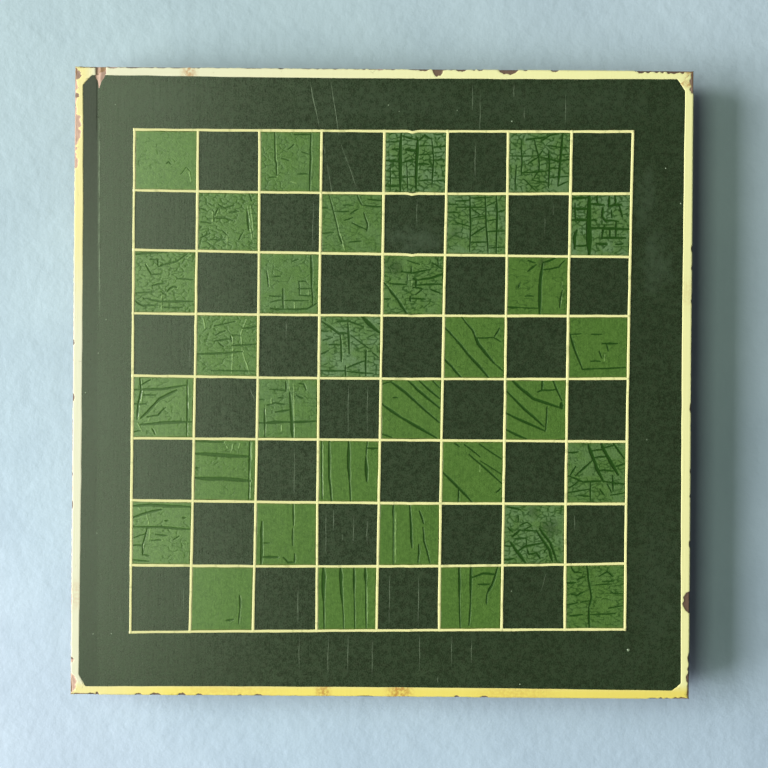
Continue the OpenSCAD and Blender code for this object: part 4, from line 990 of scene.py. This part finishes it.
def gouge_sides(y):
    """Left and right edges of the torn wood at the far end of the strip joint."""
    share = (BOARD_L / 2 - y) / GOUGE_L
    left = STRIP_FAR + np.interp(share, [0.3, 0.5, 0.65, 0.75, 1.14], [-1.1, -1.5, -1, 0, 0.7])
    right = STRIP_FAR + np.interp(share, [0, 0.4, 0.63, 0.8, 1.14], [5.2, 5.5, 4, 2.6, 1.2])
    return left, right, share


def gouge_depth(x, y):
    """How deep the wood is torn out, in mm: a slit along the joint that rises to a shallow face."""
    left, right, share = gouge_sides(y)
    ragged = 0.5 * (rough(y / 1.4, x / 1.1, 127) - 0.5)
    inside = smooth_step(-0.1, 0.5, x - left) * smooth_step(-0.15, 0.15, right - x + ragged)
    slit = smooth_step(1.7, 0, x - STRIP_FAR) * smooth_step(0.9, 0.5, share)
    return (TORN_DEPTH + SLIT_DEPTH * slit) * inside * (share < 1.14) * (y > 0)


def gouge_tone(x):
    """How dark the torn wood is: brown on its left flank, which is painted shade, fresh beside that,
    weathered on the right.
    """
    flank = smooth_step(0.2, -0.4, x - STRIP_FAR)
    weathered = smooth_step(1.5, 2.7, x - STRIP_FAR)
    return 0.03 + 0.45 * flank + 0.5 * weathered


def spaced(low, high, coarse, fine, fine_from, fine_to):
    """Places from low to high, closer together over one stretch."""
    before = np.linspace(low, fine_from, max(2, round((fine_from - low) / coarse) + 1))
    within = np.linspace(fine_from, fine_to, round((fine_to - fine_from) / fine) + 1)
    after = np.linspace(fine_to, high, max(2, round((high - fine_to) / coarse) + 1))
    return np.unique(np.concatenate([before, within, after]).round(4))


def ground_relief(x, y):
    """Height of the ground paint over its level, in mm."""
    grain = 0.014 * (rough(x / 1.6, y / 70, 83) - 0.5)
    waves = 0.03 * (noise(x / 14, y / 40, 89) - 0.5)
    joint = x - strip_joint_x(y)
    groove = -0.13 * np.exp(-((joint / 0.5) ** 2)) * smooth_step(155, 172, y)
    ridge = 0.04 * np.exp(-(((joint - 1.2) / 0.45) ** 2)) * smooth_step(50, 70, y) * smooth_step(172, 160, y)
    # The narrow strip has cupped, and leans away from the light towards its far end
    lean = -0.12 * np.clip(-joint / 12, 0, 1) * strip_lean_and_shade(y)
    wide = 0.04 * np.exp(-(((x - WIDE_JOINT_X) / 0.7) ** 2))
    return grain + waves + groove + ridge + lean + wide


def clip_corners(bm):
    """Cuts the dark field's corners off slantwise."""
    x = BOARD_W / 2 - BORDER_W
    y = BOARD_L / 2 - BORDER_W
    for (across, along), (sx, sy) in zip(CORNER_CLIPS, ((-1, 1), (1, 1), (1, -1), (-1, -1))):
        all_parts = bm.verts[:] + bm.edges[:] + bm.faces[:]
        point = Vector((sx * (x - across), sy * y, 0)) * MM
        outward = Vector((sx * along, sy * across, 0)).normalized()
        bmesh.ops.bisect_plane(bm, geom=all_parts, plane_co=point, plane_no=outward, clear_outer=True)


def ground_sheet():
    """The painted field, flat and in place, finely divided round the gouge."""
    x = BOARD_W / 2 - BORDER_W
    y = BOARD_L / 2 - BORDER_W
    columns = spaced(-x, x, 1.05, 0.3, -191, -182)
    rows = spaced(-y, y, 3.4, 0.5, 190, y)
    bm = flat_grid(len(columns) - 1, len(rows) - 1)
    for v in bm.verts:
        v.co.x = columns[round(v.co.x * (len(columns) - 1))] * MM
        v.co.y = rows[round(v.co.y * (len(rows) - 1))] * MM
    clip_corners(bm)
    return bm


def ground_haze(x, y):
    """How dull and grey the ground paint is, from 0 to 1."""
    haze = np.zeros(len(x))
    ragged = 1.3 * (rough(x / 5, y / 7, 97) - 0.5)
    for hx, hy, half_w, half_l, strength in HAZES:
        far = np.hypot((x - hx) / half_w, (y - hy) / half_l)
        haze = np.maximum(haze, strength * smooth_step(1.3, 0.3, far + ragged))
    return haze


def pale_joint_line(x, y):
    """How much paler the paint is along the ridge beside the strip joint, from 0 to 1."""
    broken = smooth_step(0.3, 0.65, rough(y / 5, x / 9, 101))
    wander = x - strip_joint_x(y) - 1.2 - 0.5 * (noise(y / 3, x / 60, 103) - 0.5)
    return broken * smooth_step(0.5, 0.1, np.abs(wander)) * smooth_step(30, 70, y) * smooth_step(172, 160, y)


def ground_coat(material):
    """The dark field with its grain, its joints, its ridges and its specks."""
    mesh = closed_sheet(ground_sheet(), "dark_field")
    flat = places(mesh)
    x = flat[:, 0] / MM
    y = flat[:, 1] / MM
    sheet_map(mesh, np.column_stack([x / BOARD_W + 0.5, y / BOARD_L + 0.5, flat[:, 2]]))
    torn = gouge_depth(x, y)
    # The sheet's bottom is flat, so its top stays above that, also in the joint and in the gouge
    surface = np.maximum(GROUND_TOP + ground_relief(x, y) - torn, PLANK_TOP + 0.02)
    move_to(mesh, x, y, np.where(flat[:, 2] > -0.5, surface, PLANK_TOP + 0.01))
    paint(mesh, "haze", ground_haze(x, y))
    paint(mesh, "pale_mark_and_highlight", 0.5 * pale_joint_line(x, y))
    paint(mesh, "strip_dull_and_shaded", smooth_step(0.6, -0.6, x - strip_joint_x(y)) * strip_lean_and_shade(y))
    paint(mesh, "bare", smooth_step(0.03, 0.1, torn))
    paint(mesh, "dark", gouge_tone(x))
    add_ridges(mesh)
    make_piece(mesh, material, "ground_paint", "ground_coat")


def ridge(bm, layer, ends, half_w, rise, light):
    """A low rounded ridge of paint from one end to the other, in mm, broken where it is thin."""
    (x0, y0), (x1, y1) = ends
    length = math.dist(*ends)
    nx = -(y1 - y0) / length
    ny = (x1 - x0) / length
    made = bmesh.ops.create_grid(bm, x_segments=max(4, round(length / 1.2)), y_segments=4, size=0.5)["verts"]
    for v in made:
        share = v.co.x + 0.5
        side = 2 * v.co.y
        taper = math.sin(math.pi * min(1, max(0, share))) ** 0.4
        thick = 0.7 + 0.3 * math.sin(length * share / 1.9 + x0) * math.sin(length * share / 3.1 + y0)
        off = side * half_w * taper + 0.12 * math.sin(9 * share + x0)
        v.co = Vector((
            x0 + share * (x1 - x0) + nx * off,
            y0 + share * (y1 - y0) + ny * off,
            GROUND_TOP + rise * (1 - side * side) * taper * thick,
        )) * MM
        # The crest is painted paler: a painted highlight on grain ridges, worn paint on scratches
        v[layer] = light * (1 - 0.6 * side * side) * taper * thick
    rim = {e for v in made for e in v.link_edges if e.is_boundary}
    close_below(bm, list(rim), 0.05 * MM)


def add_ridges(mesh):
    """Adds the grain ridges, the scratches and the specks to the dark field."""
    bm = bmesh.new()
    bm.from_mesh(mesh)
    layer = bm.verts.layers.float["pale_mark_and_highlight"]
    map_layer = bm.loops.layers.uv["OFBake"]
    known = len(bm.faces)
    for x, low, high in GRAIN_RIDGES:
        ends = [(x, low), (x + 0.004 * (high - low), high)]
        ridge(bm, layer, ends, half_w=0.27, rise=0.07, light=0.34)
    for x0, y0, x1, y1, strength in SCRATCHES:
        ridge(bm, layer, [(x0, y0), (x1, y1)], half_w=0.3, rise=0.05, light=1.9 * strength)
    for x, y, radius in SPECKS:
        made = bmesh.ops.create_cone(
            bm, cap_ends=True, segments=10, radius1=radius * MM, radius2=0.4 * radius * MM, depth=0.12 * MM
        )["verts"]
        bmesh.ops.translate(bm, verts=made, vec=Vector((x, y, GROUND_TOP + 0.03)) * MM)
        for v in made:
            v[layer] = 0.75
    bm.faces.ensure_lookup_table()
    added = bm.faces[known:]
    bmesh.ops.recalc_face_normals(bm, faces=added)
    for face in added:
        for loop in face.loops:
            place = loop.vert.co / MM
            loop[map_layer].uv = on_map(place.x / BOARD_W + 0.5, place.y / BOARD_L + 0.5)
    bm.to_mesh(mesh)
    bm.free()


# The yellow border

# Chips whose wood is pale, not weathered dark: from and to along the side in mm, and how dark. On the left
# side and its corners the pale wood is partly painted light, as that side faces the lamp
PALE_CHIPS = {
    "far": [(-203, -186, 0.45), (-186, -174, 0.3), (-6, 1, 0.1)],
    "right": [],
    "near": [(-203, -196, 0.3)],
    "left": [(193, 206, 0.6), (183, 191, 0.65), (136, 180, 0.25), (-206, -183, 0.1)],
}
# Orange stains in the border: place along the side, half length, strength
BORDER_STAINS = {
    "far": [(-128, 6, 0.7), (199, 3, 0.6)],
    "right": [(60, 12, 0.2), (197.5, 3, 0.7)],
    "near": [(-37, 6, 0.75), (13, 10, 0.8), (-100, 40, 0.2), (90, 30, 0.25)],
    "left": [(-140, 12, 0.25)],
}
# Where the arris is rubbed or broken: from and to along the side in mm, how far in, and how dark
WORN_ARRIS = {
    "far": [(-198, -187, 1.0, 0.8), (-180, 60, 0.75, 0.8), (164, 206, 1.7, 0.9)],
    "right": [(191, 206, 3.0, 0.55), (-30, 60, 0.4, 0.8), (-206, -176, 1.2, 0.9)],
    "near": [(-200, -187, 1.2, 0.95), (-120, 60, 0.4, 0.8), (176, 203, 1.1, 0.95)],
    # On the left side the pale tone is partly painted light, as that side faces the lamp
    "left": [
        (-206, 206, 0.6, 0.15), (172, 206, 1.7, 0.15), (155, 176, 3.6, 0.15), (139, 153, 2.6, 0.15),
        (-206, -192, 2.2, 0.1),
    ],
}
SIDES = ("far", "right", "near", "left")
SIDE_STEPS = 540
# Across the border from the field to the lower edge: cells on the face, on the arris, on the side
FACE_STEPS = 11
ARRIS_STEPS = 5
SIDE_DROP_STEPS = 13


def border_profile():
    """The border's section from the field's edge: distance out, height, and if it is on the back."""
    flat_w = BORDER_W - ARRIS_R
    turn = np.linspace(0, math.pi / 2, ARRIS_STEPS + 1)[1:]
    drops = np.linspace(0, 1, SIDE_DROP_STEPS + 1)[1:] ** 1.6
    low_z = COAT_TOP - ARRIS_R
    face = [(u, COAT_TOP, False) for u in np.linspace(0, flat_w, FACE_STEPS + 1)]
    arris = [(flat_w + ARRIS_R * math.sin(a), low_z + ARRIS_R * math.cos(a), False) for a in turn]
    side = [(BORDER_W, low_z - d * (low_z - BATTEN_T), False) for d in drops]
    inner = BORDER_W - COAT_T + 0.02
    back = [
        (inner, BATTEN_T, True), (inner, low_z, True), (flat_w, PLANK_TOP + 0.01, True),
        (0, PLANK_TOP + 0.01, True), (0, COAT_TOP, True),
    ]
    return face + arris + side + back


def field_edge(side, along):
    """How far in from the board's edge the yellow runs at a place along a side."""
    lengthwise = side in ("left", "right")
    half = (BOARD_L if lengthwise else BOARD_W) / 2 - BORDER_W
    at_start, at_end = {"far": (0, 1), "right": (2, 1), "near": (3, 2), "left": (3, 0)}[side]
    run = 1 if lengthwise else 0
    inward = 0 if lengthwise else 1
    first = CORNER_CLIPS[at_start]
    last = CORNER_CLIPS[at_end]
    into_first = np.clip((along + half) / first[run], -1, 1)
    into_last = np.clip((half - along) / last[run], -1, 1)
    clipped = np.maximum((1 - into_first) * first[inward], (1 - into_last) * last[inward])
    return BORDER_W + BORDER_SWELL * np.clip(1 - (along / half) ** 2, 0, 1) + np.maximum(clipped, 0)


def coat_depth(x, y, z):
    """How far a place lies under the outer surface of the coat, and the way out from it."""
    past = np.stack([np.abs(x) - BOARD_W / 2, np.abs(y) - BOARD_L / 2, z - COAT_TOP]) + ARRIS_R
    depth = np.full(np.shape(x), 1e9)
    for k in (0, 1):
        pair = past[[k, 2]]
        round_off = np.hypot(*np.maximum(pair, 0)) + np.minimum(np.max(pair, axis=0), 0)
        depth = np.minimum(depth, ARRIS_R - round_off)
    outward = np.maximum(past, 0)
    outward = outward / np.maximum(np.linalg.norm(outward, axis=0), 1e-6)
    outward[0] = outward[0] * np.sign(x)
    outward[1] = outward[1] * np.sign(y)
    return depth, outward.T


def border_edges():
    """The outer faces of the border's CAD solid, and the walls of its chips and of its gouge."""

    def is_face(middle, _):
        return abs(coat_depth(*middle)[0]) < 0.03

    def is_wall(middle, normal):
        from_edge = min(BOARD_W / 2 - abs(middle.x), BOARD_L / 2 - abs(middle.y))
        at_field = abs(normal.z) < 0.1 and from_edge > BORDER_W - 0.3
        return 0.04 < coat_depth(*middle)[0] < COAT_T - 0.04 and not at_field

    return PaintEdges("border_coat", is_face, is_wall)


def ring_place(side, along, out):
    """A place on the face for a distance along a side and one out from the board's middle lines."""
    if side == "far":
        return along, out
    if side == "near":
        return along, -out
    if side == "right":
        return out, along
    return -out, along


def border_places(flat, profile, rows):
    """Places of the border's vertices in mm, the side that each is on and its place along that side."""
    out, z, hidden = np.array(profile)[np.round(flat[:, 1] * rows).astype(int)].T
    x, y, along = np.empty((3, len(out)))
    turn = flat[:, 0] * 4
    number = np.clip(np.floor(turn), 0, 3).astype(int)
    for k, side in enumerate(SIDES):
        own = number == k
        lengthwise = side in ("left", "right")
        half = (BOARD_L if lengthwise else BOARD_W) / 2
        other = (BOARD_W if lengthwise else BOARD_L) / 2
        share = 2 * (turn[own] - k) - 1
        edge = half * (-share if side in ("right", "near") else share)
        uneven = 0.3 * noise(edge / 13, np.full(len(edge), k * 4.7), 107)
        inset = field_edge(side, edge) + uneven * smooth_step(half, half - 12, np.abs(edge))
        inward = inset * (1 - out[own] / BORDER_W)
        # Each row keeps to the mitre at the corners
        along[own] = np.clip(edge, inward - half, half - inward)
        x[own], y[own] = ring_place(side, along[own], other - inward)
    return x, y, z, hidden > 0, number, along


def worn_arris(chip, hidden, from_arris, number, along):
    """Adds the wear between the chips to them, and gives how dark the bared wood is."""
    dark = np.full(len(chip), 0.85)
    for k, side in enumerate(SIDES):
        own = number == k
        for start, end, tone in PALE_CHIPS[side]:
            dark = np.where(own & (along > start) & (along < end), tone, dark)
        for start, end, reach, tone in WORN_ARRIS[side]:
            eaten = reach * (0.1 + 1.3 * noise(along / 1.9, np.full(len(chip), k * 3.7), 113)) - from_arris
            more = own & ~hidden & (along > start) & (along < end) & (eaten > chip)
            dark = np.where(more & (eaten > -0.4), tone, dark)
            chip = np.where(more, np.clip(eaten, -1, 1), chip)
    return chip, dark


def border_stains(number, along):
    """How orange the border is, from 0 to 1."""
    stain = np.zeros(len(along))
    for k, side in enumerate(SIDES):
        for place, reach, strength in BORDER_STAINS[side]:
            near_by = strength * smooth_step(1.2, 0.2, np.abs(along - place) / reach)
            stain = np.where(number == k, np.maximum(stain, near_by), stain)
    return stain


def border_map(mesh, flat):
    """The border's four sides, one above the other."""
    corner, middle, _ = loop_places(mesh, flat)
    quarter = np.floor(middle[:, 0] * 4)
    lay_map(mesh, np.column_stack([corner[:, 0] * 4 - quarter, (quarter + 0.04 + 0.92 * corner[:, 1]) / 4]))


def border_coat(material):
    """The yellow margin, rounded over the arris and down the sides, chipped where it is worn."""
    profile = border_profile()
    rows = len(profile) - 1
    mesh = as_mesh(flat_grid(4 * SIDE_STEPS, rows), "yellow_border")
    flat = places(mesh)
    border_map(mesh, flat)
    x, y, z, hidden, number, along = border_places(flat, profile, rows)
    _, outward = coat_depth(x, y, z)
    chip, _ = border_edges().measure(np.column_stack([x, y, z]), -outward)
    scraped = 0.35 * (rough(along / 1.7, z + (x + y) / 1.7, 101) - 0.5)
    chip = np.where(hidden, -1, np.clip(chip + scraped, -1, 1))
    inset = np.minimum(BOARD_W / 2 - np.abs(x), BOARD_L / 2 - np.abs(y))
    from_arris = np.maximum(inset, COAT_TOP - ARRIS_R - z)
    chip, dark = worn_arris(chip, hidden, from_arris, number, along)
    worn = 0.25 * smooth_step(-0.05, 0.15, chip)
    x = x - worn * outward[:, 0]
    y = y - worn * outward[:, 1]
    z = z - worn * outward[:, 2]
    dip_at_gouge(x, y, z, chip, dark)
    # The ring's two ends meet, and so do its outer skin and its back
    for place in (x, y, z):
        lanes = place.reshape(rows + 1, -1)
        lanes[:, -1] = lanes[:, 0]
        lanes[-1] = lanes[0]
    move_to(mesh, x, y, z)
    paint(mesh, "chip", chip)
    paint(mesh, "dark", dark)
    paint(mesh, "stain", border_stains(number, along))
    paint(mesh, "warmth", border_warmth(x, y))
    paint(mesh, "left_sheen_tone", smooth_step(150, -200, x))
    weld(mesh, 0.001)
    make_piece(mesh, material, "yellow_paint", "border_coat")


def border_warmth(x, y):
    """The border has yellowed most along the near side, and somewhat at the far end of the left side."""
    near = smooth_step(BORDER_W + 5, BORDER_W - 2, y + BOARD_L / 2)
    near = near * (0.5 + 0.42 * smooth_step(-210, -120, x))
    far_left = 0.5 * smooth_step(-188, -197, x) * smooth_step(20, 110, y)
    return np.maximum(near, far_left)


def dip_at_gouge(x, y, z, chip, dark):
    """Sinks the border into the gouge, and bares the wood there."""
    torn = gouge_depth(x, y) * smooth_step(20, 29, z)
    inside = smooth_step(0.03, 0.1, torn)
    z[:] = z - torn
    chip[:] = np.maximum(chip, 2 * inside - 1)
    dark[:] = np.where(inside > 0.2, gouge_tone(x), dark)


# The finishes on the pieces

green = green_paint()
for square in CRAZING:
    green_square(square, green)
striping(stripe_paint())
ground_coat(ground_paint())
border_coat(border_paint())

PALE_PINE = (srgb(164, 130, 94), srgb(116, 82, 54))
BROWN_PINE = (srgb(150, 114, 78), srgb(104, 72, 46))
BATTEN_PINE = (srgb(146, 112, 78), srgb(98, 68, 44))
WOODS = {
    "left_edge_strip": bare_wood("strip wood", (-150, 0, -40), 0.02, *BROWN_PINE),
    "middle_plank": bare_wood("middle plank wood", (-80, 0, 70), -0.05, *PALE_PINE),
    "right_plank": bare_wood("right plank wood", (130, 0, -50), 0.04, *BROWN_PINE),
    "upper_batten": bare_wood("upper batten wood", (-110, 0, 60), 0.03, *BATTEN_PINE, along_x=True),
    "lower_batten": bare_wood("lower batten wood", (160, 0, -30), -0.02, *BATTEN_PINE, along_x=True),
}
steel = old_steel()
for name in ("upper_batten_screws", "lower_batten_screws", "strip_brads"):
    WOODS[name] = steel
WOODS["edge_dowels"] = dowel_wood()
for name, material in WOODS.items():
    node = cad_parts[name]
    node.data.materials.clear()
    node.data.materials.append(material)


# The wall, the lamps and the camera

# Millimetres of the face that a pixel shows, and how far the photo's middle is off the board's
PIXEL = 0.6555
FRAME_W = 768 * PIXEL
# Places of the lamps and height of the playing face, in metres, and the lamps' colours
WINDOW_PLACE = (-4.0, -0.25, 1.62)
SHEEN_PLACE = (-0.7, 0.16, 1.5)
FACE_Z = 0.03
WINDOW_LIGHT = (1.0, 0.985, 0.96)
SHEEN_LIGHT = (0.84, 1.0, 0.7)
WALL_PALE = srgb(188, 209, 231)
WALL_FAR_SHADED = srgb(178, 199, 211)
WALL_FAR_RIGHT_LIT = srgb(192, 212, 228)
WALL_NEAR_LEFT_LIT = srgb(198, 215, 237)
OFF_RIGHT = 2.0 * PIXEL
OFF_NEAR = 1.25 * PIXEL
ROLL = math.radians(0.436)
LENS = 50
SENSOR = 36


def wall():
    """The pale painted wall that the board's back rests on."""
    bm = bmesh.new()
    bmesh.ops.create_grid(bm, x_segments=8, y_segments=8, size=3)
    mesh = as_mesh(bm, "wall")
    coat = Finish("wall paint")
    here = coat.split(coat.place)
    # The wall is painted darker towards the far side and lighter towards the far right and the near left:
    # painted shade and painted light
    coat.color = coat.blend(coat.ramp(here["Y"], -280, 280), WALL_PALE, WALL_FAR_SHADED)
    slant = coat.plus(here["X"], here["Y"])
    coat.cover(coat.ramp(slant, 150, 500), WALL_FAR_RIGHT_LIT)
    coat.cover(coat.ramp(slant, -300, -480), WALL_NEAR_LEFT_LIT)
    patch = coat.ramp(coat.noise(0.012, 4.0), 0.3, 0.7)
    coat.tint(patch, srgb(232, 234, 237), 0.5)
    mesh.materials.append(coat.done(coat.scaled(patch, 0.05, 0.7), coat.noise(0.09, 4.0), 0.5))
    backdrop = bpy.data.objects.new("wall", mesh)
    bpy.context.scene.collection.objects.link(backdrop)


def lamp(name, place, target, width, height, power, color):
    """A soft rectangular lamp, its sizes in metres: along the board's side, and across that."""
    data = bpy.data.lights.new(name, "AREA")
    data.shape = "RECTANGLE"
    data.size = width
    data.size_y = height
    data.energy = power
    data.color = color
    light = bpy.data.objects.new(name, data)
    light.location = place
    light.rotation_euler = (Vector(target) - Vector(place)).to_track_quat("-Z", "Y").to_euler()
    bpy.context.scene.collection.objects.link(light)


def camera():
    """Straight above the face, turned a little so that the board hangs as it does in the photo."""
    data = bpy.data.cameras.new("camera")
    data.lens = LENS
    data.sensor_width = SENSOR
    view = bpy.data.objects.new("camera", data)
    distance = FRAME_W * LENS / SENSOR
    view.location = Vector((OFF_RIGHT, -OFF_NEAR, GROUND_TOP + distance)) * MM
    view.rotation_euler = (0, 0, ROLL)
    bpy.context.scene.collection.objects.link(view)
    bpy.context.scene.camera = view


def sky():
    """A faint even light from the rest of the room."""
    world = bpy.data.worlds.new("room")
    world.use_nodes = True
    background = world.node_tree.nodes["Background"]
    background.inputs["Color"].default_value = (0.96, 0.98, 0.97, 1)
    background.inputs["Strength"].default_value = 0.07
    bpy.context.scene.world = world


wall()
lamp("window", WINDOW_PLACE, (0, 0, FACE_Z), width=3.6, height=2.9, power=440, color=WINDOW_LIGHT)
lamp("sheen", SHEEN_PLACE, (0, 0.16, FACE_Z), width=1.75, height=0.6, power=8.5, color=SHEEN_LIGHT)
camera()
sky()
bpy.context.scene.view_settings.view_transform = "Standard"
